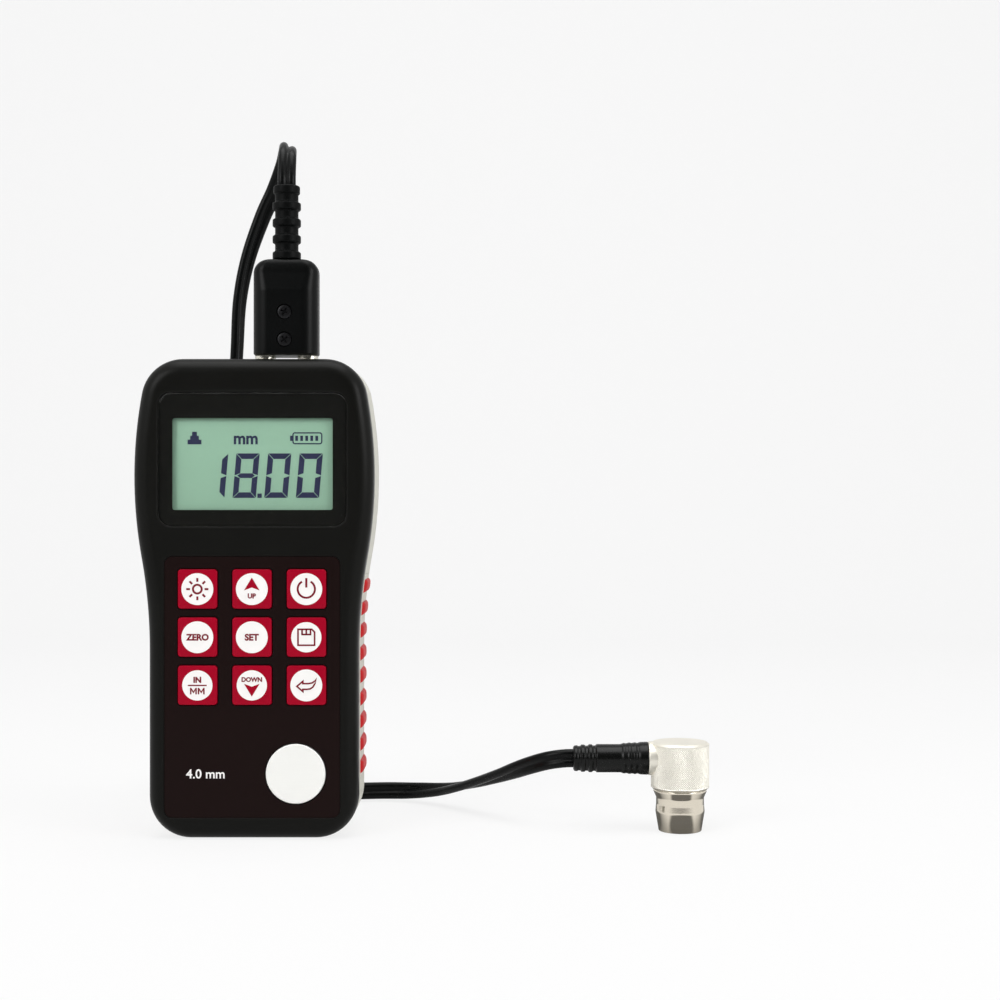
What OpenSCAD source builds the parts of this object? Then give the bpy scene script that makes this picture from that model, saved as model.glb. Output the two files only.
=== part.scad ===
// Handheld ultrasonic thickness gauge with a twin plug, a twin lead and a right-angle probe.
// The gauge stands on its bottom end: +Z is up, the display faces -Y, and sizes are in millimetres.

/* [Case] */
// Height of the case
body_h = 148.5; // [146:0.5:156]
// Width of the case along its straight lower sides
waist_w = 64.8; // [64:0.2:68]
// Width of the case across its head
head_w = 74.4; // [72:0.2:80]
// Height at which the straight sides end
waist_z = 58; // [52:1:64]
// Distance from the top of the case down to the widest place of the head
head_drop = 36.5; // [32:0.5:40]
// Radius of the bowed sides of the head
head_r = 142; // [120:1:180]
// Radius of the case's corners, seen from the front
corner_r = 13; // [11:0.5:14]
// Depth of the case, front to back
body_t = 32; // [31.5:0.5:38]
// Depth of the front cover
cover_t = 8; // [7:0.5:9]
// Rounding of the front edge
front_round = 5; // [4:0.25:5.5]
// Rounding of the back edge
back_round = 6; // [4:0.25:6.5]
// Wall of both shells
wall = 2.2; // [2:0.1:2.5]

/* [Display] */
// Width of the display window
lens_w = 57.9; // [56:0.1:60]
// Height of the display window
lens_h = 41; // [39:0.1:42]
// Corner radius of the display window
lens_r = 4; // [2:0.5:6]
// Thickness of the display window
lens_t = 1.4; // [1:0.1:1.6]
// Distance from the top of the case down to the middle of the window
lens_drop = 31.3; // [30:0.1:33]
// Width of the clear area of the window
view_w = 49.4; // [46:0.1:50.5]
// Height of the clear area of the window
view_h = 28.3; // [26:0.1:29.5]
// How far the middle of the clear area lies below the middle of the window
view_drop = 1.4; // [0.7:0.1:2.2]
// Width of the display glass
lcd_w = 54; // [52.5:0.1:55]
// Height of the display glass
lcd_h = 34; // [32:0.1:35]
// Thickness of the display glass
lcd_t = 2.4; // [2:0.1:2.8]
// Thickness of the backlight
light_t = 2.8; // [2.4:0.1:3.2]

/* [Keypad] */
// Side of a square key
key_w = 12.1; // [11:0.1:12.4]
// Corner radius of a key
key_r = 1; // [0.5:0.1:2]
// Height of a key above the front face
key_proud = 0.4; // [0.2:0.1:0.8]
// Travel of a key
key_travel = 0.6; // [0.3:0.1:0.8]
// Distance between the columns of keys
col_pitch = 16.75; // [16:0.05:17.2]
// Distance between the rows of keys
row_pitch = 14.8; // [14.6:0.05:15]
// Distance from the top of the keypad film down to the top row of keys
row_drop = 10; // [9.5:0.1:11]
// Width of the keypad film
panel_w = 54; // [52:0.2:54.6]
// Gap between the keypad film and the display window
panel_gap = 9.4; // [8:0.1:11]
// Height of the lower edge of the keypad film
panel_z = 6.9; // [6:0.1:7.5]
// Thickness of the keypad film
panel_t = 0.4; // [0.3:0.05:0.5]

/* [Reference disc] */
// Diameter of the reference disc
disc_d = 18.4; // [16:0.1:19.5]
// Thickness of the reference disc
disc_t = 4; // [3.5:0.1:4.5]
// Place of the disc to the right of the middle
disc_x = 13.4; // [12:0.1:14]
// Place of the disc between the bottom of the case, 0, and the keys, 1
disc_place = 0.448; // [0.3:0.01:0.7]

/* [Side grips] */
// Number of ribs on each grip
rib_count = 9; // [7:1:9]
// Distance between ribs
rib_pitch = 7.1; // [6:0.1:7.2]
// Height of one rib
rib_h = 4.1; // [3:0.1:5]
// How far a rib stands out of the side
rib_proud = 1.1; // [0.6:0.1:1.6]
// Height of the middle of the lowest rib
rib_z = 20.8; // [20:0.1:24]

/* [Sockets and plug] */
// Distance between the two sockets
socket_pitch = 13.5; // [12.5:0.1:14]
// Place of the plug to the right of the middle
plug_x = 8.4; // [6:0.1:10]
// Place of the plug behind the middle of the case
plug_y = 2; // [0:0.1:3]
// Width of the plug
plug_w = 20.6; // [20.4:0.1:24]
// Depth of the plug
plug_d = 13; // [12.6:0.1:15]
// Height of the plug
plug_h = 30.5; // [29:0.1:34]
// Gap between the case and the underside of the plug
plug_gap = 1.9; // [1.7:0.1:2.4]
// Height of the ribbed boot on the plug
boot_h = 23.8; // [22:0.1:26]

/* [Power] */
// Diameter of a cell
cell_d = 14.3; // [14:0.1:14.5]
// Length of a cell with its nub
cell_len = 50.5; // [50:0.1:50.5]
// Distance between the two cells
cell_pitch = 15.2; // [15:0.1:15.6]
// Width of the battery door
door_w = 38; // [36:0.2:39]
// Thickness of the battery door
door_t = 1.8; // [1.7:0.1:2]
// Slide of the battery door
door_travel = 6; // [3:0.5:6]

/* [Probe] */
// Place of the probe to the right of the gauge
probe_x = 133.4; // [132:0.1:140]
// Diameter of the probe's contact face
face_d = 13.5; // [13:0.1:14.5]
// Diameter of the knurled housing
housing_d = 18.5; // [18:0.1:20]
// Height of the probe
probe_h = 27.8; // [27.6:0.1:30]
// Height of the polished nose
nose_h = 13.2; // [13:0.1:13.6]
// Height of the middle of the lead on the probe
lead_z = 22.8; // [22.4:0.1:22.8]

/* [Cord] */
// Width of the twin cord
cord_w = 5.8; // [5:0.1:6]
// Thickness of the twin cord
cord_t = 2.9; // [2.5:0.1:3]

/* [Clearances] */
// Gap round a fixed piece in its seat
fit_gap = 0.1; // [0.05:0.01:0.15]
// Gap round a piece that moves
run_gap = 0.3; // [0.2:0.05:0.35]

/* [Hidden] */
$fn = 48;

// Levels through the depth of the gauge, measured from its middle towards the display
front_z = body_t / 2;
back_z = -body_t / 2;
parting_z = front_z - cover_t;
inner_front_z = front_z - wall;
// Overlap that makes two unions one solid, and the reach of a cut past a face
weld = 0.2;
past = 1;

// The case outline: straight sides, a hollow flare, bowed head sides and round corners, all tangent
waist_x = waist_w / 2;
head_x = head_w / 2;
head_z = body_h - head_drop;
flare_reach = waist_x - head_x + head_r;
flare_rise = head_z - waist_z;
flare_r = (pow(flare_reach, 2) + pow(flare_rise, 2) - pow(head_r, 2)) / (2 * (head_r - flare_reach));
flare_angle = asin(flare_rise / (head_r + flare_r));
flare_high_z = waist_z + flare_r * sin(flare_angle);
top_rise = body_h - corner_r - head_z;
top_x = head_x - head_r + sqrt(pow(head_r - corner_r, 2) - pow(top_rise, 2));
head_angle = asin(top_rise / (head_r - corner_r));
corner_steps = 6;
side_steps = 5;
round_step = 18;

// Display stack, from the window back to the board
lens_z = body_h - lens_drop;
view_z = lens_z - view_drop;
lens_sink = 0.15;
ledge_t = 1.2;
ledge_lip = 2;
view_margin = 0.6;
ledge_front_z = front_z - lens_sink - lens_t;
ledge_back_z = ledge_front_z - ledge_t;
lcd_front_z = ledge_back_z - 2 * fit_gap;
lcd_back_z = lcd_front_z - lcd_t;
board_front_z = lcd_back_z - light_t - fit_gap;
board_t = 1.6;
board_back_z = board_front_z - board_t;
holder_wall = 1.6;
holder_w = lcd_w + 2 * (holder_wall + 2 * fit_gap);
holder_h = lcd_h + 2 * (holder_wall + 2 * fit_gap);
zebra_w = 2.4;

// Keypad
panel_high_z = lens_z - lens_h / 2 - panel_gap;
panel_h = panel_high_z - panel_z;
top_row_z = panel_high_z - row_drop;
low_row_z = top_row_z - 2 * row_pitch;
panel_sink = 0.2;
panel_r = 2.5;
panel_floor_z = front_z - panel_sink - panel_t;
key_lip = 1;
key_flange_t = 0.8;
key_flange_z = inner_front_z - run_gap;
stem_d = 4;
dome_w = 6;
dome_base_t = 0.8;
dome_d = 4.4;
dome_h = 1.4;
stem_tip_z = board_front_z + dome_h + key_travel + run_gap;

// Reference disc in its cup
disc_proud = 0.2;
disc_back_z = front_z + disc_proud - disc_t;
cup_wall = 1.4;
cup_floor = 1.2;
cup_r = disc_d / 2 + fit_gap + cup_wall;
disc_lowest_z = wall + cup_r;
disc_highest_z = low_row_z - key_w / 2 - key_lip - run_gap - cup_r;
disc_z = disc_lowest_z + disc_place * (disc_highest_z - disc_lowest_z);

// Board outline, wide behind the display and narrow behind the keys
board_low_w = 43;
board_wide_w = holder_w + 0.4;
board_low_z = 12;
board_shoulder = 10;
board_wide_z = view_z - holder_h / 2 - board_shoulder;
board_top_z = view_z + holder_h / 2 + 0.4;
board_post_d = 5;
board_screw_d = 1.9;
wide_post_x = board_wide_w / 2 - board_post_d;
wide_post_z = board_wide_z + 4;
low_post_x = (board_low_w - board_post_d) / 2 - 0.5;
low_post_z = low_row_z - 12.2;
board_posts = [
  [-wide_post_x, wide_post_z], [wide_post_x, wide_post_z], [-low_post_x, low_post_z], [low_post_x, low_post_z]
];

// Screws that hold the two shells together
case_screw_d = 3;
case_head_d = 5.2;
case_head_t = 2;
case_post_d = 6;
rear_post_d = 7.6;
head_seat_z = back_z + 8;
case_screw_tip_z = front_z - 4;
screw_low_x = waist_x - 7;
screw_low_z = 14;
screw_top_x = head_x - 9.2;
screw_top_z = body_h - 9.8;
case_posts = [
  [-screw_low_x, screw_low_z], [screw_low_x, screw_low_z],
  [-screw_top_x, screw_top_z], [screw_top_x, screw_top_z]
];

// Side grips
grip_t = 1;
grip_margin = 3.6;
grip_low_z = rib_z - grip_margin;
grip_high_z = rib_z + (rib_count - 1) * rib_pitch + grip_margin;
grip_front_z = parting_z - 3;
grip_back_z = back_z + back_round + 1;
rib_slope = 0.5;

// Cell bay and its sliding door
bay_gap = 0.5;
bay_wall = 1.6;
spring_len = 5.5;
contact_t = 0.5;
contact_w = 10;
bay_x = cell_pitch / 2 + cell_d / 2 + bay_gap;
bay_low_z = 11;
bay_len = cell_len + spring_len + 2 * contact_t + 3 * fit_gap;
bay_high_z = bay_low_z + bay_len;
door_inner_z = back_z + door_t;
cell_axis_z = door_inner_z + bay_gap + cell_d / 2;
bay_ceiling_z = cell_axis_z + cell_d / 2 + bay_gap;
door_low_z = door_travel + 1;
door_lap = 3;
door_high_z = bay_high_z + door_lap;
door_r = 2;
channel_floor_z = door_inner_z + run_gap;
lip_t = 0.7;
tongue_w = 1;

// Sockets and the plug that stands in them
socket_d = 7;
socket_flange_d = 8.6;
socket_flange_t = 0.8;
socket_len = 12.5;
socket_bore_d = 5.1;
socket_floor_t = 2;
socket_nut_w = 9;
socket_nut_t = 2;
barrel_d = 5;
barrel_bore_d = 3.8;
barrel_len = 8.4;
collar_d = 6.6;
collar_t = 0.8;
barrel_grip_d = 6;
barrel_grip_h = 10;
core_d = 2.8;
core_rise = 9.5;
pin_d = 1;
pin_hole_d = 1.1;
plug_low_z = body_h + plug_gap;
plug_high_z = plug_low_z + plug_h;
plug_corner = 5;
plug_shoulder = 4.3;
plug_band = 6.4;
plug_lean = 2.2;
plug_screw_d = 2.4;
plug_head_d = 4.7;
plug_head_t = 1.6;
plug_screw_z = [plug_low_z + 4.9, plug_low_z + 13.6];
boot_core_d = 7.4;
boot_rib_d = 9;
boot_rib_h = 2.9;
boot_ribs = 5;
boot_spigot_h = 3;

// Probe
housing_low_z = nose_h;
housing_wall = 1.6;
spigot_h = 3;
spigot_d = 14;
nose_bore_d = 10.8;
stub_d = 10.6;
stub_out = 0.9;
probe_boot_len = 23.8;
probe_boot_face_x = probe_x - housing_d / 2 - stub_out;
probe_boot_plug_d = 8;
probe_boot_plug = 1.8;
barrier_t = 0.5;
delay_h = 9;
crystal_t = 0.4;
damping_h = 4;

// Cord route: x, y, z of its middle, then the direction of its width. Chosen by hand.
cord_sides = 10;
cord_steps = 2;
drop_route = [
  [8.4, 2, 204.2, 1, 0, 0], [8.4, 2, 208, 1, 0, 0], [8.2, 5.4, 215.4, 1, 0, 0.1],
  [7.2, 14, 219, 1, 0.1, 0.1], [5, 22.2, 215.4, 1, 0.2, 0], [1.4, 25.8, 207.5, 0.9, 0.3, 0],
  [-2.8, 26.8, 199, 0.9, 0.4, 0], [-7.8, 27.4, 185, 0.8, 0.5, 0], [-10.6, 27.8, 171, 0.8, 0.6, 0],
  [-11.6, 28.4, 155, 0.7, 0.7, 0], [-13, 30, 135, 0.7, 0.7, 0], [-16, 33.5, 105, 0.6, 0.8, 0],
  [-19.5, 38, 75, 0.4, 0.9, 0], [-23.5, 43, 48, 0.2, 1, 0], [-26.2, 46.4, 30, 0.1, 1, 0],
  [-26.6, 48, 19, 0.2, 1, 0.2], [-23.4, 48.4, 9.8, 0.2, 0.8, 0.6], [-17.6, 48.2, 5, 0.1, 0.4, 0.9],
  [-11.5, 48.1, 3.5, 0, 0, 1]
];
run_route = [
  [3.8, 42.3, 3.5, 0, 0, 1], [13, 46.4, 3.5, 0, 0, 1], [23.5, 50, 3.5, 0, 0, 1],
  [35, 51.2, 3.6, 0, 0.2, 1], [46, 49, 4, 0.3, 0.4, 0.8], [56, 42, 5.6, 0.5, 0.6, 0.4],
  [63, 34, 8, 0.7, 0.7, 0.1], [70, 25.2, 11.2, 0.7, 0.6, -0.2], [77.5, 16, 15, 0.5, 0.5, -0.5],
  [84.5, 7.8, 18.8, 0.3, 0.3, -0.9], [91, 2, 21.6, 0.1, 0.1, -1], [96.5, 0.1, 22.7, 0, 0, -1],
  [99.9, 0, 22.8, 0, 0, -1]
];

// Coil of the spare cord, wound on edge from its inner turn outwards
coil_x = -11.5;
coil_y = 75;
coil_r = 26.9;
coil_pitch = 3;
coil_turns = 3.07;
tie_t = 0.5;
tie_w = 9;
coil_low_z = tie_t + fit_gap;
coil_in = coil_r - cord_t / 2;
coil_out = coil_r + coil_pitch * coil_turns + cord_t / 2;

// Points along an arc
function arc(cx, cy, r, a0, a1, n) =
  [for (i = [0:n]) let (a = a0 + (a1 - a0) * i / n) [cx + r * cos(a), cy + r * sin(a)]];

// A list without its first entry
function tail(list) = [for (i = [1:len(list) - 1]) list[i]];

// Right half of the case outline from the base to the top, moved inwards by d
function half_outline(d) = concat(
  arc(waist_x - corner_r, corner_r, corner_r - d, -90, 0, corner_steps),
  arc(waist_x + flare_r, waist_z, flare_r + d, 180, 180 - flare_angle, side_steps),
  tail(arc(head_x - head_r, head_z, head_r - d, -flare_angle, head_angle, corner_steps)),
  tail(arc(top_x, body_h - corner_r, corner_r - d, head_angle, 90, corner_steps))
);

// Whole case outline, moved inwards by d
function outline(d) =
  let (h = half_outline(d)) concat(h, [for (i = [len(h) - 1:-1:0]) [-h[i][0], h[i][1]]]);

// Half-width of the case at a height below its top corners, moved inwards by d
function side_x(z, d) =
  z <= waist_z ? waist_x - d :
  z <= flare_high_z ? waist_x + flare_r - sqrt(pow(flare_r + d, 2) - pow(z - waist_z, 2)) :
  head_x - head_r + sqrt(pow(head_r - d, 2) - pow(z - head_z, 2));

// Strip of the case side between two heights, from inset d_in out to inset d_out
function side_strip(z0, z1, d_in, d_out, n) = concat(
  [for (i = [0:n]) let (z = z0 + (z1 - z0) * i / n) [side_x(z, d_out), z]],
  [for (i = [n:-1:0]) let (z = z0 + (z1 - z0) * i / n) [side_x(z, d_in), z]]
);

// Rectangle with round corners
function round_rect(w, h, r, n = 5) = concat(
  arc(w / 2 - r, h / 2 - r, r, 0, 90, n),
  arc(r - w / 2, h / 2 - r, r, 90, 180, n),
  arc(r - w / 2, r - h / 2, r, 180, 270, n),
  arc(w / 2 - r, r - h / 2, r, 270, 360, n)
);

// Side faces between rings of n points each, two triangles to a step
function ring_faces(n, rings) =
  [for (j = [0:rings - 2]) for (i = [0:n - 1]) let (k = (i + 1) % n)
    each [[j * n + i, (j + 1) * n + i, (j + 1) * n + k], [j * n + i, (j + 1) * n + k, j * n + k]]];

// A smooth curve through the rows of a route, k steps to a stretch
function curve(a, b, c, d, t) =
  0.5 * (2 * b + (c - a) * t + (2 * a - 5 * b + 4 * c - d) * t * t + (3 * b - a - 3 * c + d) * t * t * t);
function smooth(r, k) = concat(
  [for (i = [0:len(r) - 2]) for (j = [0:k - 1])
    curve(r[max(i - 1, 0)], r[i], r[i + 1], r[min(i + 2, len(r) - 1)], j / k)],
  [r[len(r) - 1]]
);
function unit(v) = v / norm(v);
function spot(row) = [row[0], row[1], row[2]];
function across(row) = [row[3], row[4], row[5]];
function heading(r, i) = unit(spot(r[min(i + 1, len(r) - 1)]) - spot(r[max(i - 1, 0)]));

// Ring of n points round one row of a route, a half-width by b half-thickness
function sweep_ring(r, i, a, b, n) =
  let (t = heading(r, i), u = unit(across(r[i]) - t * (across(r[i]) * t)), v = cross(t, u))
  [for (k = [0:n - 1]) spot(r[i]) + u * a * cos(360 * k / n) + v * b * sin(360 * k / n)];

// Draws in the gauge's plan: x to the right, y up the gauge, z towards the display
module stand() {
  rotate([90, 0, 0])
    children();
}

// Solid between copies of the case outline, each row an inset and a level
module skin(layers) {
  n = len(outline(0));
  last = (len(layers) - 1) * n;
  low_cap = [for (i = [0:n / 2 - 2]) [i, i + 1, n - 2 - i, n - 1 - i]];
  high_cap = [for (i = [0:n / 2 - 2]) [last + n - 1 - i, last + n - 2 - i, last + i + 1, last + i]];
  polyhedron(
    [for (row = layers) for (p = outline(row[0])) [p[0], p[1], row[1]]],
    concat(ring_faces(n, len(layers)), low_cap, high_cap)
  );
}

// Solid along a route with an oval section
module sweep(r, a, b, n) {
  last = (len(r) - 1) * n;
  caps = [[for (k = [0:n - 1]) k], [for (k = [n - 1:-1:0]) last + k]];
  polyhedron([for (i = [0:len(r) - 1]) each sweep_ring(r, i, a, b, n)], concat(ring_faces(n, len(r)), caps));
}

// Plate with round corners between two levels, in the gauge's plan
module plate(y, w, h, r, z0, z1) {
  translate([0, y, z0])
    linear_extrude(z1 - z0)
      polygon(round_rect(w, h, r));
}

// Box centred on x between two heights and two levels, in the gauge's plan
module slab(w, y0, y1, z0, z1) {
  translate([-w / 2, y0, z0])
    cube([w, y1 - y0, z1 - z0]);
}

// Places that repeat, in the gauge's plan
module at_posts(posts) {
  for (p = posts)
    translate([p[0], p[1], 0])
      children();
}
module at_key(col, row) {
  translate([(col - 1) * col_pitch, top_row_z - row * row_pitch, 0])
    children();
}
module at_keys() {
  for (col = [0:2])
    for (row = [0:2])
      at_key(col, row)
        children();
}

// Round bar between two levels
module bar(d, z0, z1) {
  translate([0, 0, z0])
    cylinder(d = d, h = z1 - z0);
}

// The two socket axes, upright
module at_sockets() {
  for (side = [-1, 1])
    at_socket(side)
      children();
}
module at_socket(side) {
  translate([plug_x + side * socket_pitch / 2, plug_y, 0])
    children();
}

// Front cover: bowed shell with the window ledge, the disc cup and the screw posts inside
module front_shell() {
  inner_round = front_round - wall;
  outer = concat([[0, parting_z]], [for (a = [0:round_step:90])
    [front_round * (1 - cos(a)), front_z - front_round * (1 - sin(a))]]);
  inner = concat([[wall, parting_z - past]], [for (a = [0:round_step:90])
    [wall + inner_round * (1 - cos(a)), front_z - front_round + inner_round * sin(a)]]);
  color("#1b1b1a")
    stand()
      difference() {
        union() {
          difference() {
            skin(outer);
            skin(inner);
          }
          plate(lens_z, lens_w + 2 * ledge_lip, lens_h + 2 * ledge_lip, lens_r + ledge_lip,
            ledge_back_z, inner_front_z + weld);
          translate([disc_x, disc_z, 0])
            bar(2 * cup_r, disc_back_z - cup_floor, inner_front_z + weld);
          at_posts(board_posts)
            bar(board_post_d, board_front_z, inner_front_z + weld);
          at_posts(case_posts)
            bar(case_post_d, parting_z, inner_front_z + weld);
        }
        plate(lens_z, lens_w + 2 * fit_gap, lens_h + 2 * fit_gap, lens_r + fit_gap,
          ledge_front_z, front_z + past);
        plate(view_z, view_w + 2 * view_margin, view_h + 2 * view_margin, 1, ledge_back_z - past, front_z);
        plate(panel_z + panel_h / 2, panel_w + 2 * fit_gap, panel_h + 2 * fit_gap, panel_r,
          panel_floor_z, front_z + past);
        at_keys()
          plate(0, key_w + 2 * run_gap, key_w + 2 * run_gap, key_r + run_gap,
            inner_front_z - past, front_z + past);
        translate([disc_x, disc_z, 0])
          bar(disc_d + 2 * fit_gap, disc_back_z, front_z + past);
        at_posts(board_posts)
          bar(board_screw_d + fit_gap, board_front_z - past, inner_front_z - past);
        at_posts(case_posts)
          bar(case_screw_d + fit_gap, parting_z - past, case_screw_tip_z + weld);
      }
}

// Rear shell: bowed shell with the cell bay, the door channel, the screw posts and the grip recesses
module rear_shell() {
  inner_round = back_round - wall;
  outer = concat([for (a = [90:-round_step:0])
    [back_round * (1 - cos(a)), back_z + back_round * (1 - sin(a))]], [[0, parting_z]]);
  inner = concat([for (a = [90:-round_step:0])
    [wall + inner_round * (1 - cos(a)), back_z + back_round - inner_round * sin(a)]],
    [[wall, parting_z + past]]);
  groove_w = door_w + 2 * (tongue_w + run_gap);
  color("#cdccc1")
    difference() {
      stand()
        difference() {
          union() {
            difference() {
              skin(outer);
              skin(inner);
            }
            slab(groove_w + 2 * bay_wall, wall + 2 * weld, door_high_z + run_gap + bay_wall,
              back_z + wall - 2 * weld, channel_floor_z + bay_wall);
            slab(2 * (bay_x + bay_wall), bay_low_z - bay_wall, bay_high_z + bay_wall,
              channel_floor_z, bay_ceiling_z + bay_wall);
            at_posts(case_posts)
              bar(rear_post_d, back_z + wall - weld, parting_z);
          }
          slab(2 * bay_x, bay_low_z, bay_high_z, back_z - past, bay_ceiling_z);
          slab(door_w + 2 * run_gap, -past, door_high_z + run_gap, back_z - past, channel_floor_z);
          slab(groove_w, -past, door_high_z + run_gap, back_z + lip_t, channel_floor_z);
          at_posts(case_posts)
            bar(case_head_d + 4 * fit_gap, back_z - past, head_seat_z);
          at_posts(case_posts)
            bar(case_screw_d + 4 * fit_gap, back_z, parting_z + past);
          for (side = [0, 1])
            mirror([side, 0, 0])
              translate([0, 0, grip_back_z - fit_gap])
                linear_extrude(grip_front_z - grip_back_z + 2 * fit_gap)
                  polygon(side_strip(grip_low_z - fit_gap, grip_high_z + fit_gap,
                    grip_t + fit_gap, -2 * past, 8));
        }
      at_sockets()
        bar(socket_d + 2 * fit_gap, body_h - wall - past, body_h + past);
    }
}

// Rubber side grip with its row of ribs, on the right
module grip() {
  color("#c32a2c")
    stand()
      translate([0, 0, grip_back_z])
        linear_extrude(grip_front_z - grip_back_z) {
          polygon(side_strip(grip_low_z, grip_high_z, grip_t, 0, 8));
          for (i = [0:rib_count - 1])
            let (z = rib_z + i * rib_pitch, h = rib_h / 2)
              polygon([
                [side_x(z - h, weld), z - h], [side_x(z - h, -rib_proud), z - h + rib_slope],
                [side_x(z + h, -rib_proud), z + h - rib_slope], [side_x(z + h, weld), z + h]
              ]);
        }
}
module right_grip() {
  grip();
}
module left_grip() {
  mirror([1, 0, 0])
    grip();
}

// Clear window with its printed border
module window_lens() {
  color("#1d1d1b")
    stand()
      plate(lens_z, lens_w, lens_h, lens_r, ledge_front_z, ledge_front_z + lens_t);
}

// Display glass
module lcd_panel() {
  color("#92b7a0")
    stand()
      plate(view_z, lcd_w, lcd_h, 0.5, lcd_back_z, lcd_front_z);
}

// Frame that holds the display glass and the backlight on the board
module lcd_holder() {
  color("#e8e6dc")
    stand()
      difference() {
        plate(view_z, holder_w, holder_h, 1, board_front_z, lcd_front_z);
        plate(view_z, lcd_w + 4 * fit_gap, lcd_h + 4 * fit_gap, 0.6,
          board_front_z - past, lcd_front_z + past);
      }
}

// Light guide behind the display glass
module backlight_panel() {
  color("#f0f3ee")
    stand()
      plate(view_z, lcd_w - 2, lcd_h - 2 * (zebra_w + 0.8), 0.5, board_front_z, lcd_back_z - fit_gap);
}

// Two rubber contact strips between the glass and the board
module zebra_strips() {
  color("#d8a0a8")
    stand()
      for (side = [-1, 1])
        plate(view_z + side * (lcd_h - zebra_w - 0.8) / 2, lcd_w - 6, zebra_w, 0.3,
          board_front_z, lcd_back_z);
}

// Circuit board, wide behind the display and narrow behind the keys
module main_board() {
  color("#1f6b3f")
    stand()
      difference() {
        union() {
          slab(board_low_w, board_low_z, board_wide_z + past, board_back_z, board_front_z);
          slab(board_wide_w, board_wide_z, board_top_z, board_back_z, board_front_z);
        }
        at_posts(board_posts)
          bar(board_screw_d + 4 * fit_gap, board_back_z - past, board_front_z + past);
      }
}

// Packaged circuits on the back of the board: place from the middle of the display, size and height of each
module board_chips() {
  chips = [[-14, -11.8, 14, 14, 1.6], [6, -15.8, 10, 7, 1.2], [-22, 8.2, 6, 6, 1.4], [-12, 2.2, 10, 4, 2.4]];
  color("#2b2b2e")
    stand()
      for (c = chips)
        translate([c[0], view_z + c[1], board_back_z - c[4]])
          linear_extrude(c[4])
            square([c[2], c[3]], center = true);
}

// Metal can over the pulse circuits
module shield_can() {
  can_t = 0.4;
  can = [12, 5.2, 30, 20, 3.2];
  color("#b9bcbf")
    stand()
      translate([can[0], view_z + can[1], board_back_z - can[4]])
        difference() {
          linear_extrude(can[4])
            square([can[2], can[3]], center = true);
          translate([0, 0, can_t])
            linear_extrude(can[4])
              square([can[2] - 2 * can_t, can[3] - 2 * can_t], center = true);
        }
}

// Snap domes under the keys
module dome_switches() {
  color("#d6d8da")
    stand()
      at_keys() {
        plate(0, dome_w, dome_w, 0.6, board_front_z, board_front_z + dome_base_t);
        bar(dome_d, board_front_z + dome_base_t / 2, board_front_z + dome_h);
      }
}

// Printed film round the keys and the disc
module keypad_overlay() {
  window = key_w + 2 * run_gap;
  color("#221817")
    stand()
      difference() {
        plate(panel_z + panel_h / 2, panel_w, panel_h, panel_r, panel_floor_z, panel_floor_z + panel_t);
        at_keys()
          plate(0, window, window, key_r + run_gap, panel_floor_z - past, front_z + past);
        translate([disc_x, disc_z, 0])
          bar(disc_d + 2 * fit_gap, panel_floor_z - past, front_z + past);
      }
}

// One key: cap, retaining flange behind the cover and stem over its dome
module key(col, row) {
  color("#a70a2d")
    stand()
      at_key(col, row) {
        plate(0, key_w, key_w, key_r, key_flange_z - key_flange_t, front_z + key_proud);
        plate(0, key_w + 2 * key_lip, key_w + 2 * key_lip, key_r + key_lip,
          key_flange_z - key_flange_t, key_flange_z);
        bar(stem_d, stem_tip_z, key_flange_z - key_flange_t + weld);
      }
}
module key_light() {
  key(0, 0);
}
module key_up() {
  key(1, 0);
}
module key_power() {
  key(2, 0);
}
module key_zero() {
  key(0, 1);
}
module key_set() {
  key(1, 1);
}
module key_save() {
  key(2, 1);
}
module key_unit() {
  key(0, 2);
}
module key_down() {
  key(1, 2);
}
module key_enter() {
  key(2, 2);
}

// Steel disc of known thickness for setting the gauge
module calibration_disc() {
  color("#f7f8f3")
    stand()
      translate([disc_x, disc_z, 0])
        bar(disc_d, disc_back_z, disc_back_z + disc_t);
}

// Coaxial socket with its flange on the top of the case
module socket(side) {
  low = body_h - socket_len;
  color("#d9d6cc")
    at_socket(side)
      difference() {
        union() {
          bar(socket_d, low, body_h + socket_flange_t / 2);
          bar(socket_flange_d, body_h, body_h + socket_flange_t);
        }
        bar(socket_bore_d, low + socket_floor_t, body_h + socket_flange_t + past);
        bar(core_d + fit_gap, low - past, body_h);
      }
}
module socket_left() {
  socket(-1);
}
module socket_right() {
  socket(1);
}

// Nuts that clamp the sockets inside the top wall
module socket_nuts() {
  high = body_h - wall;
  color("#c9c5b8")
    at_sockets()
      difference() {
        translate([0, 0, high - socket_nut_t])
          cylinder(d = socket_nut_w / cos(30), h = socket_nut_t, $fn = 6);
        bar(socket_d + fit_gap, high - socket_nut_t - past, high + past);
      }
}

// Insulated core of each socket, bored for the plug's pin
module socket_inserts() {
  low = body_h - socket_len;
  color("#f2f0ea")
    at_sockets()
      difference() {
        bar(core_d, low - past, low + core_rise);
        bar(pin_hole_d, low + core_rise / 2, low + core_rise + past);
      }
}

// Cylindrical cell with its nub, standing on its flat end at the origin
module cell() {
  nub_d = 5.4;
  nub_h = 1.3;
  edge = 0.8;
  can_h = cell_len - nub_h;
  rotate_extrude()
    polygon([
      [0, 0], [cell_d / 2 - edge, 0], [cell_d / 2, edge], [cell_d / 2, can_h - edge],
      [cell_d / 2 - edge, can_h], [nub_d / 2, can_h], [nub_d / 2, cell_len], [0, cell_len]
    ]);
}
module battery_left() {
  color("#3c6f9c")
    translate([-cell_pitch / 2, -cell_axis_z, bay_high_z - contact_t - fit_gap - cell_len])
      cell();
}
module battery_right() {
  color("#3c6f9c")
    translate([cell_pitch / 2, -cell_axis_z, bay_low_z + contact_t + fit_gap + cell_len])
      mirror([0, 0, 1])
        cell();
}

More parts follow.
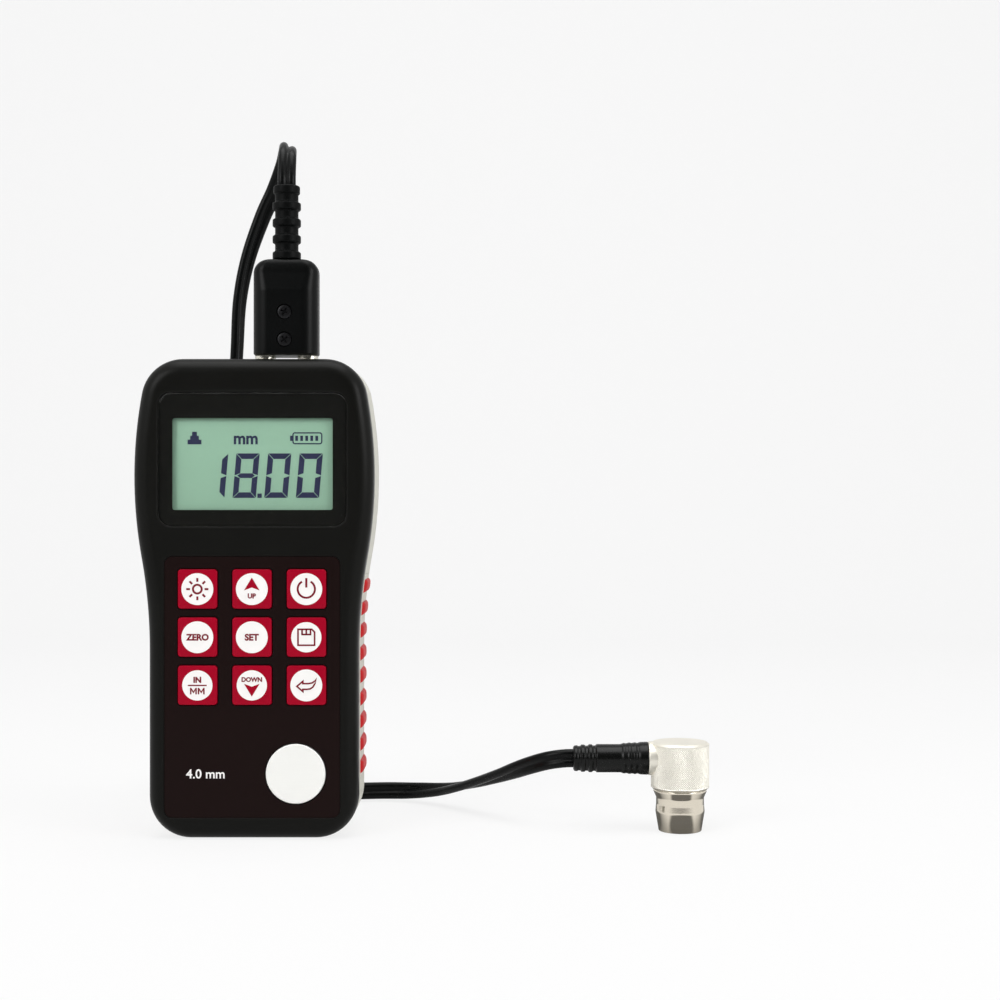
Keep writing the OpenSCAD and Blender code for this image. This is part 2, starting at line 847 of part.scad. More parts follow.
// Coil springs under the flat ends of the cells
module contact_springs() {
  wire = 0.8;
  low_r = 4;
  high_r = 2.8;
  turns = 3;
  rings = 36;
  free = spring_len - wire;
  route = [for (i = [0:rings]) let (f = i / rings, a = 360 * turns * f, r = low_r + (high_r - low_r) * f)
    [r * cos(a), r * sin(a), wire / 2 + free * f, cos(a), sin(a), 0]];
  color("#c8c8c6")
    for (side = [-1, 1])
      let (seat_z = side < 0 ? bay_low_z + contact_t : bay_high_z - contact_t)
        translate([side * cell_pitch / 2, -cell_axis_z, seat_z])
          mirror([0, 0, side < 0 ? 0 : 1])
            sweep(route, wire / 2, wire / 2, 8);
}

// Contact plates on the end walls of the bay
module contact_plates() {
  color("#c8c8c6")
    for (side = [-1, 1])
      for (z = [bay_low_z, bay_high_z - contact_t])
        translate([side * cell_pitch / 2 - contact_w / 2, -cell_axis_z - contact_w / 2, z])
          cube([contact_w, contact_w, contact_t]);
}

// Sliding battery door with side tongues and thumb grooves
module battery_door() {
  groove_pitch = 2.4;
  groove_h = 1.2;
  groove_w = 18;
  groove_t = 0.6;
  tongue_inset = 2;
  color("#cdccc1")
    stand()
      difference() {
        union() {
          plate((door_low_z + door_high_z) / 2, door_w, door_high_z - door_low_z, door_r,
            back_z, door_inner_z);
          slab(door_w + 2 * tongue_w, door_low_z + tongue_inset, door_high_z - tongue_inset,
            back_z + lip_t + run_gap, door_inner_z);
        }
        for (i = [0:4])
          slab(groove_w, door_low_z + 8 + i * groove_pitch, door_low_z + 8 + i * groove_pitch + groove_h,
            back_z - past, back_z + groove_t);
      }
}

// Cross-head screw with its tip at the higher level
module screw(d, head_d, head_t, seat_z, tip_z) {
  slot_w = head_d / 6;
  difference() {
    union() {
      bar(head_d, seat_z - head_t, seat_z);
      bar(d, seat_z - weld, tip_z);
    }
    for (a = [0, 90])
      rotate([0, 0, a])
        translate([-head_d / 3, -slot_w / 2, seat_z - head_t - past])
          cube([head_d * 2 / 3, slot_w, past + head_t / 2]);
  }
}
module case_screws() {
  color("#3a3a3c")
    stand()
      at_posts(case_posts)
        screw(case_screw_d, case_head_d, case_head_t, head_seat_z, case_screw_tip_z);
}
module board_screws() {
  head_d = 3.8;
  head_t = 1.3;
  length = 5;
  color("#b9bcbf")
    stand()
      at_posts(board_posts)
        screw(board_screw_d, head_d, head_t, board_back_z, board_back_z + length);
}

// Whole plug body: round-cornered column with a leaning band and round shoulders at its top
module plug_body() {
  foot = 0.6;
  band_z = plug_high_z - plug_band;
  layers = concat(
    [[plug_low_z, foot, foot], [plug_low_z + foot, 0, 0], [band_z, 0, 0]],
    [for (a = [0:18:90]) let (rise = plug_high_z - plug_shoulder * (1 - sin(a)))
      [rise, plug_shoulder * (1 - cos(a)), plug_lean * (rise - band_z) / plug_band]]
  );
  n = len(round_rect(plug_w, plug_d, plug_corner));
  last = (len(layers) - 1) * n;
  rings = [for (row = layers)
    let (w = plug_w - 2 * row[1], d = plug_d - 2 * row[2], r = min(plug_corner - row[2], w / 2 - weld))
    for (p = round_rect(w, d, r)) [p[0], p[1], row[0]]];
  caps = [[for (k = [0:n - 1]) k], [for (k = [n - 1:-1:0]) last + k]];
  polyhedron(rings, concat(ring_faces(n, len(layers)), caps));
}

// One moulded half of the plug, split on its middle plane and bored for barrels, boot and screws
module plug_half(front) {
  side = front ? -1 : 1;
  reach = plug_d;
  translate([plug_x, plug_y, 0])
    difference() {
      intersection() {
        plug_body();
        translate([-plug_w, front ? -reach : 0, plug_low_z - past])
          cube([2 * plug_w, reach, plug_h + 2 * past]);
      }
      for (x = [-1, 1])
        translate([x * socket_pitch / 2, 0, 0]) {
          bar(barrel_grip_d + 2 * fit_gap, plug_low_z - past, plug_low_z + barrel_grip_h + fit_gap);
          bar(pin_d + 4 * fit_gap, plug_low_z, plug_low_z + barrel_grip_h + 2 * pin_d);
        }
      bar(boot_core_d + 2 * fit_gap, plug_high_z - boot_spigot_h - fit_gap, plug_high_z + past);
      for (z = plug_screw_z)
        translate([0, 0, z])
          rotate([-90, 0, 0]) {
            bar(plug_screw_d + fit_gap, -reach, plug_d / 3);
            bar(plug_head_d + 2 * fit_gap, -reach, plug_head_t - plug_d / 2);
          }
    }
}
module plug_front_half() {
  color("#1d1e1d")
    plug_half(true);
}
module plug_rear_half() {
  color("#1d1e1d")
    plug_half(false);
}

// Two cross-head screws through the front of the plug
module plug_screws() {
  color("#222222")
    translate([plug_x, plug_y, 0])
      for (z = plug_screw_z)
        translate([0, 0, z])
          rotate([-90, 0, 0])
            screw(plug_screw_d, plug_head_d, plug_head_t - fit_gap,
              plug_head_t - plug_d / 2, plug_d / 3 - past);
}

// Metal barrels that stand in the sockets, with a collar under the plug
module plug_barrels() {
  seat = plug_low_z - collar_t;
  color("#d9d6cc")
    at_sockets()
      difference() {
        union() {
          bar(barrel_d, seat - barrel_len, plug_low_z);
          bar(collar_d, seat, plug_low_z);
          bar(barrel_grip_d, plug_low_z - weld, plug_low_z + barrel_grip_h);
        }
        bar(barrel_bore_d, seat - barrel_len - past, plug_low_z + barrel_grip_h + past);
      }
}

// Insulators that centre the pins in the barrels
module plug_inserts() {
  color("#f2f0ea")
    at_sockets()
      difference() {
        bar(barrel_bore_d - fit_gap, plug_low_z, plug_low_z + barrel_grip_h);
        bar(pin_hole_d, plug_low_z - past, plug_low_z + barrel_grip_h + past);
      }
}

// Centre pins of the plug
module plug_pins() {
  pin_dip = 7.6;
  color("#caa64a")
    at_sockets()
      bar(pin_d, plug_low_z - pin_dip, plug_low_z + barrel_grip_h + pin_d);
}

// Ribbed rubber boot on the plug, its spigot held between the two halves
module plug_boot() {
  top_rib_d = boot_rib_d - 0.6;
  first_rib = 0.15;
  rib_pitch_z = (boot_h - boot_rib_h) / (boot_ribs - 1 + first_rib);
  color("#171818")
    translate([plug_x, plug_y, 0]) {
      bar(boot_core_d, plug_high_z - boot_spigot_h, plug_high_z + boot_h);
      for (i = [0:boot_ribs - 1])
        let (d = i < boot_ribs - 1 ? boot_rib_d : top_rib_d, z = plug_high_z + (first_rib + i) * rib_pitch_z)
          bar(d, z, z + boot_rib_h);
    }
}

// Cord from the plug over its bend and down behind the gauge
module cord_drop() {
  color("#121313")
    sweep(smooth(drop_route, cord_steps), cord_w / 2, cord_t / 2, cord_sides);
}

// Outer shape of the coiled spare cord
module cord_coil() {
  color("#121313")
    translate([coil_x, coil_y, coil_low_z])
      rotate_extrude($fn = 96)
        translate([coil_in, 0])
          square([coil_out - coil_in, cord_w]);
}

// Cord from the coil to the probe
module cord_run() {
  color("#121313")
    sweep(smooth(run_route, cord_steps), cord_w / 2, cord_t / 2, cord_sides);
}

// Strap round the turns of the coil, at its back
module coil_tie() {
  inner = sqrt(pow(coil_in, 2) - pow(tie_w / 2, 2)) - fit_gap;
  outer = coil_out + fit_gap;
  high = coil_low_z + cord_w + fit_gap;
  color("#202020")
    translate([coil_x - tie_w / 2, coil_y, 0])
      difference() {
        translate([0, inner - tie_t, 0])
          cube([tie_w, outer - inner + 2 * tie_t, high + tie_t]);
        translate([-past, inner, tie_t])
          cube([tie_w + 2 * past, outer - inner, high - tie_t]);
      }
}

// Polished nose of the probe with the spigot that screws into the housing
module probe_nose() {
  waist_d = face_d + 2;
  neck_d = face_d + 1.6;
  skirt_d = housing_d - 1.6;
  color("#e3dfd3")
    translate([probe_x, 0, 0])
      rotate_extrude()
        polygon([
          [nose_bore_d / 2, 0], [face_d / 2, 0], [waist_d / 2, 6], [waist_d / 2, 6.4], [neck_d / 2, 8.5],
          [neck_d / 2, 10.6], [skirt_d / 2, nose_h - 0.6], [skirt_d / 2, nose_h], [spigot_d / 2, nose_h],
          [spigot_d / 2, nose_h + spigot_h], [nose_bore_d / 2, nose_h + spigot_h]
        ]);
}

// Knurled cap of the probe with the stub that takes the boot
module probe_housing() {
  edge = 0.7;
  r = housing_d / 2;
  color("#f0ede2")
    translate([probe_x, 0, 0])
      difference() {
        union() {
          rotate_extrude()
            polygon([
              [0, housing_low_z], [r - edge, housing_low_z], [r, housing_low_z + edge], [r, probe_h - edge],
              [r - edge, probe_h], [0, probe_h]
            ]);
          translate([0, 0, lead_z])
            rotate([0, -90, 0])
              bar(min(stub_d, 2 * (probe_h - lead_z) + edge), 0, r + stub_out);
        }
        bar(spigot_d + fit_gap, housing_low_z - past, housing_low_z + spigot_h + fit_gap);
        bar(housing_d - 2 * housing_wall, housing_low_z + spigot_h, probe_h - housing_wall);
        translate([0, 0, lead_z])
          rotate([0, -90, 0])
            bar(probe_boot_plug_d + 2 * fit_gap, 0, r + stub_out + past);
      }
}

// Half-round delay line behind the contact face, on one side of the barrier
module delay_line(side) {
  color("#9a7b4a")
    translate([probe_x, 0, 0])
      intersection() {
        bar(nose_bore_d - 2 * fit_gap, 0, delay_h);
        translate([side < 0 ? -nose_bore_d - barrier_t / 2 : barrier_t / 2, -nose_bore_d, -past])
          cube([nose_bore_d, 2 * nose_bore_d, delay_h + 2 * past]);
      }
}
module delay_line_left() {
  delay_line(-1);
}
module delay_line_right() {
  delay_line(1);
}

// Cork sheet that keeps the two sound paths apart
module sound_barrier() {
  w = nose_bore_d - 1;
  color("#7a5a38")
    translate([probe_x - barrier_t / 2 + fit_gap / 2, -w / 2, 0])
      cube([barrier_t - fit_gap, w, delay_h + crystal_t + damping_h]);
}

// Half-round blank on each side of the barrier
module half_rounds(d, z0, z1) {
  translate([probe_x, 0, 0])
    difference() {
      bar(d, z0, z1);
      translate([-barrier_t / 2, -d, z0 - past])
        cube([barrier_t, 2 * d, z1 - z0 + 2 * past]);
    }
}

// Piezo plates on top of the delay lines
module crystals() {
  color("#d9d2b8")
    half_rounds(nose_bore_d - 1.4, delay_h, delay_h + crystal_t);
}

// Damping blocks on the back of the piezo plates
module damping_blocks() {
  color("#55514c")
    half_rounds(nose_bore_d - 1.4, delay_h + crystal_t, delay_h + crystal_t + damping_h);
}

// Ringed rubber boot on the probe, its plug seated in the stub. Rows of distance from the stub and diameter.
module probe_boot() {
  profile = [
    [-probe_boot_plug, probe_boot_plug_d], [0, probe_boot_plug_d], [0, 10.4], [2.6, 10.2], [3.4, 9.6],
    [4.2, 10.1], [5.1, 9.6], [6, 10], [6.9, 9.4], [7.8, 9.7], [8.6, 8.9], [16.4, 8.9], [16.7, 8.1],
    [17.5, 8.1], [17.8, 8.8], [18.8, 8.8], [19.1, 8], [19.9, 8], [20.2, 8.6], [21.2, 8.6], [21.5, 7.8],
    [22.2, 7.8], [22.5, 8.2], [probe_boot_len - 0.4, 8], [probe_boot_len, 7.2]
  ];
  color("#1e1f1d")
    translate([probe_boot_face_x, 0, lead_z])
      rotate([0, -90, 0])
        rotate_extrude()
          polygon(concat(
            [[0, -probe_boot_plug]],
            [for (row = profile) [row[1] / 2, row[0]]],
            [[0, probe_boot_len]]
          ));
}

front_shell();
rear_shell();
left_grip();
right_grip();
window_lens();
lcd_panel();
lcd_holder();
backlight_panel();
zebra_strips();
main_board();
board_chips();
shield_can();
dome_switches();
keypad_overlay();
key_light();
key_up();
key_power();
key_zero();
key_set();
key_save();
key_unit();
key_down();
key_enter();
calibration_disc();
socket_left();
socket_right();
socket_nuts();
socket_inserts();
battery_left();
battery_right();
contact_springs();
contact_plates();
battery_door();
case_screws();
board_screws();
plug_front_half();
plug_rear_half();
plug_screws();
plug_barrels();
plug_inserts();
plug_pins();
plug_boot();
cord_drop();
cord_coil();
cord_run();
coil_tie();
probe_nose();
probe_housing();
delay_line_left();
delay_line_right();
sound_barrier();
crystals();
damping_blocks();
probe_boot();
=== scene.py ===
import math

import bmesh
import bpy
import numpy as np
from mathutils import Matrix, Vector
from mathutils.geometry import tessellate_polygon


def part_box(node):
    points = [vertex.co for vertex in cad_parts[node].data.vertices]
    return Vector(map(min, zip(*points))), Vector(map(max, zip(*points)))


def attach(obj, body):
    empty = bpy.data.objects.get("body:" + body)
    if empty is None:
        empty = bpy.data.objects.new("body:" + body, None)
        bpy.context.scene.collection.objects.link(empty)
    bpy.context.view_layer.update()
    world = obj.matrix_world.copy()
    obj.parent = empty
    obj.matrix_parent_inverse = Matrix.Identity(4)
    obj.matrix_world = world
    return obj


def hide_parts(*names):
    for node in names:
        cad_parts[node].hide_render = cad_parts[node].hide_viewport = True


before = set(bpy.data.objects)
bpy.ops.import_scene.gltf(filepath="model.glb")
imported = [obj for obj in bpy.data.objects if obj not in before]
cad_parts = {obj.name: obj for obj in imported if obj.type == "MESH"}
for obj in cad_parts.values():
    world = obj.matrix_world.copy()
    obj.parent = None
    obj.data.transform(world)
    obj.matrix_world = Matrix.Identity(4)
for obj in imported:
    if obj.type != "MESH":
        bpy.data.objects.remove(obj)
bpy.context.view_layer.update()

# Camera. It looks square on at the front of the gauge from half a metre away, a little above
# the keys, with the probe to the right of the picture.
CAMERA_PLACE = (0.0763, -0.5288, 0.1047)
camera_lens = bpy.data.cameras.new("camera")
camera_lens.lens = 60
camera_lens.sensor_width = 36
camera = bpy.data.objects.new("camera", camera_lens)
camera.location = CAMERA_PLACE
camera.rotation_euler = (math.pi / 2, 0, 0)
bpy.context.scene.collection.objects.link(camera)
bpy.context.scene.camera = camera
bpy.context.scene.view_settings.view_transform = "Standard"

# Twin cord. Two round rubber-covered coaxial strands moulded side by side, with a narrow web
# between them. It leaves the plug's boot, bends over, drops behind the case, is put away in a
# flat coil there and runs round the case to the probe.
MM = 0.001
FULL_TURN, QUARTER = 2 * math.pi, math.pi / 2
STRAND_R = 1.45
CORD_STEP = 1.2
LOBE_REACH = math.radians(150)
LOBE_POINTS = 13
# x, y, z in mm of the cord's middle, then the direction of its width
DROP_ROUTE = np.array([
    [8.4, 2, 204.2, 1, 0, 0], [8.4, 2, 208, 1, 0, 0], [8.2, 5.4, 215.4, 1, 0, -0.25],
    [7.2, 14, 219, 1, 0.1, -0.5], [5, 22.2, 215.4, 1, 0.2, -0.2], [1.4, 25.8, 207.5, 0.9, 0.3, 0],
    [-2.8, 26.8, 199, 0.75, 0.6, 0], [-7.8, 27.4, 185, 0.6, 0.8, 0], [-10.6, 27.8, 171, 0.45, 0.9, 0],
    [-11.6, 28.4, 155, 0.35, 0.95, 0], [-13, 30, 135, 0.3, 0.95, 0], [-16, 33.5, 105, 0.3, 0.95, 0],
    [-19.5, 38, 75, 0.3, 0.95, 0], [-23.5, 43, 48, 0.2, 1, 0], [-26.2, 46.4, 30, 0.1, 1, 0],
    [-26.6, 48, 19, 0.2, 1, 0.2], [-23.4, 48.4, 9.8, 0.2, 0.8, 0.6], [-17.6, 48.2, 5, 0.1, 0.4, 0.9],
])
RUN_ROUTE = np.array([
    [13, 46.4, 3.5, 0, 0, 1], [23.5, 50, 3.5, 0, 0, 1], [35, 51.2, 3.6, 0, 0.2, 1],
    [46, 49, 4, 0.3, 0.4, 0.8], [56, 42, 5.6, 0.5, 0.6, 0.4], [63, 34, 8, 0.7, 0.7, 0.1],
    [70, 25.2, 11.2, 0.7, 0.6, -0.2], [77.5, 16, 15, 0.5, 0.5, -0.5], [84.5, 7.8, 18.8, 0.3, 0.3, -0.9],
    [91, 2, 21.6, 0.1, 0.1, -1], [96.5, 0.1, 22.7, 0, 0, -1], [99.9, 0, 22.8, 0, 0, -1],
])
COIL_X, COIL_Y, COIL_Z = -11.5, 75, 3.5
COIL_R, COIL_PITCH, COIL_TURNS = 26.9, 3, 3.07
COIL_POINTS = 110


def coil_route():
    """Flat spiral from the front of the coil: the radius grows by one pitch for each turn."""
    turn = np.linspace(0, COIL_TURNS, COIL_POINTS)
    angle = FULL_TURN * turn - QUARTER
    radius = COIL_R + COIL_PITCH * turn
    level, edge = np.full(COIL_POINTS, COIL_Z), np.zeros(COIL_POINTS)
    return np.stack([COIL_X + radius * np.cos(angle), COIL_Y + radius * np.sin(angle), level,
                     edge, edge, edge + 1], axis=-1)


def smooth_route(route, step, fine=24):
    """Catmull-Rom curve through the rows of a route, sampled again at even steps along its length."""
    a, b = np.concatenate([route[:1], route[:-2]]), route[:-1]
    c, d = route[1:], np.concatenate([route[2:], route[-1:]])
    t = np.linspace(0, 1, fine, endpoint=False)[None, :, None]
    a, b, c, d = (x[:, None, :] for x in (a, b, c, d))
    dense = 0.5 * (2 * b + (c - a) * t + (2 * a - 5 * b + 4 * c - d) * t**2 + (3 * b - a - 3 * c + d) * t**3)
    dense = np.concatenate([dense.reshape(-1, route.shape[1]), route[-1:]])
    along = np.concatenate([[0], np.cumsum(np.linalg.norm(np.diff(dense[:, :3], axis=0), axis=1))])
    even = np.linspace(0, along[-1], int(along[-1] / step) + 1)
    return np.stack([np.interp(even, along, column) for column in dense.T], axis=-1)


def carry(profile, route):
    """Profile points (across, up) carried along a route: at each row they lie square to the curve's
    tangent, turned to that row's width direction. Gives rows x points x 3."""
    place, width = route[:, :3], route[:, 3:]
    tangent = np.gradient(place, axis=0)
    tangent /= np.linalg.norm(tangent, axis=1, keepdims=True)
    across = width - tangent * np.sum(width * tangent, axis=1, keepdims=True)
    across /= np.linalg.norm(across, axis=1, keepdims=True)
    up = np.cross(tangent, across)
    return place[:, None] + across[:, None] * profile[None, :, :1] + up[:, None] * profile[None, :, 1:]


def grid(rows, closed=True, paint=0):
    """A part from a grid of points, rows x columns x 3: one quad between each four neighbours.
    A closed grid joins its last column to its first. paint is the part's material number."""
    rows = np.asarray(rows, float)
    here = np.arange(rows.shape[0] * rows.shape[1]).reshape(rows.shape[:2])
    ahead = np.roll(here, -1, axis=1)
    if not closed:
        here, ahead = here[:, :-1], ahead[:, :-1]
    quads = np.stack([here[:-1], ahead[:-1], ahead[1:], here[1:]], axis=-1)
    return rows.reshape(-1, 3), [quads.reshape(-1, 4)], paint


def capped(rows, paint=0):
    """A closed solid from a grid of rings: its side quads, and one flat face on each end ring."""
    points, groups, paint = grid(rows, True, paint)
    ring = np.arange(rows.shape[1])
    return points, [*groups, ring[None, ::-1], ring[None] + len(points) - len(ring)], paint


def gathered(parts):
    """Corners, faces and material numbers of several parts, numbered on as one mesh."""
    corners, faces, paints, start = [], [], [], 0
    for points, batches, paint in parts:
        for batch in batches:
            faces += (np.asarray(batch) + start).tolist()
            paints += [paint] * len(batch)
        corners.append(points)
        start += len(points)
    return np.concatenate(corners), faces, paints


def put(name, parts, materials, body, stands_for=(), sharp=35):
    """One piece at the origin from parts given in mm. Doubles are merged, and an edge is kept
    sharp where its faces meet at more than `sharp` degrees."""
    corners, faces, paints = gathered(parts)
    mesh = bpy.data.meshes.new(name)
    mesh.from_pydata((corners * MM).tolist(), [], faces)
    mesh.polygons.foreach_set("material_index", paints)
    shape = bmesh.new()
    shape.from_mesh(mesh)
    bmesh.ops.remove_doubles(shape, verts=shape.verts, dist=1e-7)
    shape.to_mesh(mesh)
    shape.free()
    mesh.shade_smooth()
    mesh.set_sharp_from_angle(angle=math.radians(sharp))
    for material in materials:
        mesh.materials.append(material)
    piece = bpy.data.objects.new(name, mesh)
    bpy.context.scene.collection.objects.link(piece)
    if body:
        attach(piece, body)
    if stands_for:
        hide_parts(*stands_for)
    return piece


def rgb(red, green, blue):
    """A screen colour, 0 to 255, as the linear colour that a socket takes."""
    part = np.array([red, green, blue]) / 255
    linear = np.where(part <= 0.04045, part / 12.92, ((part + 0.055) / 1.055) ** 2.4)
    return (*linear.tolist(), 1.0)


def feed(tree, node, inputs):
    """Links each socket among a node's inputs, and sets any other value on its input."""
    for name, value in dict(inputs).items():
        if isinstance(value, bpy.types.NodeSocket):
            tree.links.new(value, node.inputs[name])
        else:
            node.inputs[name].default_value = value
    return node


def add(tree, kind, inputs=(), **settings):
    """A new shader node with its settings, fed with its inputs."""
    made = tree.nodes.new("ShaderNode" + kind)
    for name, value in settings.items():
        setattr(made, name, value)
    return feed(tree, made, inputs)


def calc(tree, operation, *values):
    """The result of a maths node on its values."""
    return add(tree, "Math", dict(enumerate(values)), operation=operation).outputs[0]


def noise(tree, at, scale, detail):
    """Cloudy noise between 0 and 1."""
    return add(tree, "TexNoise", {"Vector": at, "Scale": scale, "Detail": detail}).outputs["Fac"]


def scaled(tree, colour, share):
    """A colour times a share."""
    return add(tree, "VectorMath", {0: colour, "Scale": share}, operation="SCALE").outputs[0]


def fresh(name):
    """A new material, with its node tree and its shader."""
    material = bpy.data.materials.new(name)
    material.use_nodes = True
    return material, material.node_tree, material.node_tree.nodes["Principled BSDF"]


def surface_group(name, fine, broad_scale, broad_detail, gloss_swing):
    """A node group of two noises: their sum, less one, swings the colour by the spread and the
    roughness about the gloss, and the fine noise is the height. fine makes the fine noise from the
    tree, the place on the object and the scale."""
    tree = bpy.data.node_groups.new(name, "ShaderNodeTree")
    for flow, sockets in (("INPUT", ["Colour", "Scale", "Spread", "Gloss"]),
                          ("OUTPUT", ["Colour", "Roughness", "Height"])):
        for socket in sockets:
            kind = "NodeSocketColor" if socket == "Colour" else "NodeSocketFloat"
            tree.interface.new_socket(socket, in_out=flow, socket_type=kind)
    given = tree.nodes.new("NodeGroupInput").outputs
    at = add(tree, "TexCoord").outputs["Object"]
    tooth = fine(tree, at, given["Scale"])
    swing = calc(tree, "SUBTRACT", calc(tree, "ADD", tooth, noise(tree, at, broad_scale, broad_detail)), 1.0)
    colour = scaled(tree, given["Colour"], calc(tree, "MULTIPLY_ADD", swing, given["Spread"], 1.0))
    rough = calc(tree, "MULTIPLY_ADD", swing, gloss_swing, given["Gloss"])
    feed(tree, tree.nodes.new("NodeGroupOutput"), {"Colour": colour, "Roughness": rough, "Height": tooth})
    return tree


def fine_grain(tree, at, scale):
    """Fine noise through the whole of the object."""
    return noise(tree, at, scale, 3.0)


# Moulded or rubber grain: fine noise for the tooth of the surface and broad noise for handling,
# which lighten and darken the colour, shift the gloss and lift the surface.
grain_group = surface_group("moulded_grain", fine_grain, broad_scale=55.0, broad_detail=4.0, gloss_swing=0.16)


def grained(name, colour, gloss, scale=2400.0, spread=0.12, lift=0.02, strength=0.25, specular=0.5, metal=0.0,
            surface=grain_group):
    """A finish whose colour, roughness and bump come from a surface group, the moulded grain unless
    another is given. gloss is the mean roughness, and lift the bump's depth in mm."""
    material, tree, shader = fresh(name)
    grain = add(tree, "Group", {"Colour": colour, "Scale": scale, "Spread": spread, "Gloss": gloss},
                node_tree=surface).outputs
    bump = add(tree, "Bump", {"Height": grain["Height"], "Strength": strength, "Distance": lift * MM})
    feed(tree, shader, {"Base Color": grain["Colour"], "Roughness": grain["Roughness"],
                        "Normal": bump.outputs["Normal"], "Specular IOR Level": specular, "Metallic": metal})
    return material


def arc(x, y, radius, start, end, steps):
    """Points on a circle from one angle to another, in radians."""
    angle = np.linspace(start, end, steps + 1)
    return np.stack([x + radius * np.cos(angle), y + radius * np.sin(angle)], axis=-1)


strand_lobes = np.concatenate([
    arc(STRAND_R, 0, STRAND_R, -LOBE_REACH, LOBE_REACH, LOBE_POINTS),
    arc(-STRAND_R, 0, STRAND_R, math.pi - LOBE_REACH, math.pi + LOBE_REACH, LOBE_POINTS),
])
cord_route = smooth_route(np.concatenate([DROP_ROUTE, coil_route(), RUN_ROUTE]), CORD_STEP)
cord_black = grained("cord_black", rgb(7, 8, 8), 0.3, scale=900.0, spread=0.15, specular=0.12)
cord = put("twin_cord", [capped(carry(strand_lobes, cord_route))], [cord_black], "lead",
           ("cord_drop", "cord_coil", "cord_run"), sharp=60)

# Coil tie. A strap of woven hook-and-loop tape round the turns of the coil at its back, closed on
# itself with a short tail on top. It is one flat band, wrapped by hand.
TIE_T = 0.5
TIE_CORNER = 1.6
TIE_TAIL = 6.0
TIE_STEPS = 8
WEAVE_PITCH = 0.55


def span(node):
    """Lowest and highest corner of a CAD node at rest, in mm."""
    low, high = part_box(node)
    return np.array(low) / MM, np.array(high) / MM


def round_rect(width, height, radius, steps=8):
    """Closed rectangle with round corners, counter-clockwise about the origin."""
    x, y = width / 2 - radius, height / 2 - radius
    return np.concatenate([
        arc(sx * x, sy * y, radius, start, start + QUARTER, steps)
        for sx, sy, start in ((1, 1, 0), (-1, 1, QUARTER), (-1, -1, math.pi), (1, -1, 3 * QUARTER))
    ])


def sideways(outline, x):
    """An outline in y and z at a place on x."""
    return np.column_stack([np.full(len(outline), x), outline])


tie_low, tie_high = span("coil_tie")
tie_mid, tie_size = (tie_low + tie_high) / 2, tie_high - tie_low


def band(outer, inner, low_x, high_x):
    """A band of tape: an outer and an inner closed outline in y and z, between two places on x,
    as a grid that closes on itself."""
    rings = [(outer, low_x), (outer, high_x), (inner, high_x), (inner, low_x), (outer, low_x)]
    return grid(np.stack([sideways(outline + tie_mid[1:], x) for outline, x in rings]))


def fabric_tape(name, colour):
    """Woven tape: two wave patterns along and across the band make the crossing threads."""
    material, tree, shader = fresh(name)
    at = add(tree, "TexCoord").outputs["Object"]
    waves = [
        add(tree, "TexWave", {"Vector": at, "Scale": 0.314 / (WEAVE_PITCH * MM), "Distortion": 0.4},
            bands_direction=direction).outputs["Fac"]
        for direction in ("X", "Y")
    ]
    weave = calc(tree, "MULTIPLY", *waves)
    shade = add(tree, "Mix", {0: weave, 6: rgb(14, 14, 14), 7: colour}, data_type="RGBA")
    bump = add(tree, "Bump", {"Height": weave, "Strength": 0.6, "Distance": 0.15 * MM})
    feed(tree, shader, {"Base Color": shade.outputs[2], "Normal": bump.outputs["Normal"], "Roughness": 0.9,
                        "Sheen Weight": 0.3})
    return material


tie_outer = round_rect(tie_size[1], tie_size[2], TIE_CORNER, TIE_STEPS)
tie_inner = round_rect(tie_size[1] - 2 * TIE_T, tie_size[2] - 2 * TIE_T, TIE_CORNER - TIE_T, TIE_STEPS)
tail_outline = round_rect(TIE_TAIL, TIE_T, TIE_T / 2 - 0.01, TIE_STEPS) + [0, (tie_size[2] + TIE_T) / 2]
tail_rows = np.stack([sideways(tail_outline + tie_mid[1:], x) for x in (tie_low[0], tie_high[0])])
tie = put("coil_strap", [band(tie_outer, tie_inner, tie_low[0], tie_high[0]), capped(tail_rows)],
          [fabric_tape("tie_black", rgb(40, 40, 41))], "lead", ("coil_tie",))

# Plug body. Two black moulded halves, screwed together from the front over the barrels, with a
# leaning band and round shoulders at the top. The seam runs down the middle of both sides.
plug_low, plug_high = span("plug_front_half")
PLUG_X, PLUG_Y = (plug_low[0] + plug_high[0]) / 2, plug_high[1]
PLUG_W, PLUG_D = plug_high[0] - plug_low[0], span("plug_rear_half")[1][1] - plug_low[1]
PLUG_FOOT, PLUG_CORNER, PLUG_SHOULDER, PLUG_BAND = 0.6, 5.0, 4.3, 9.9
PLUG_LEAN, PLUG_ROLL, SEAM = 1.1, 1.7, 0.3
SHOULDER_STEPS = 12


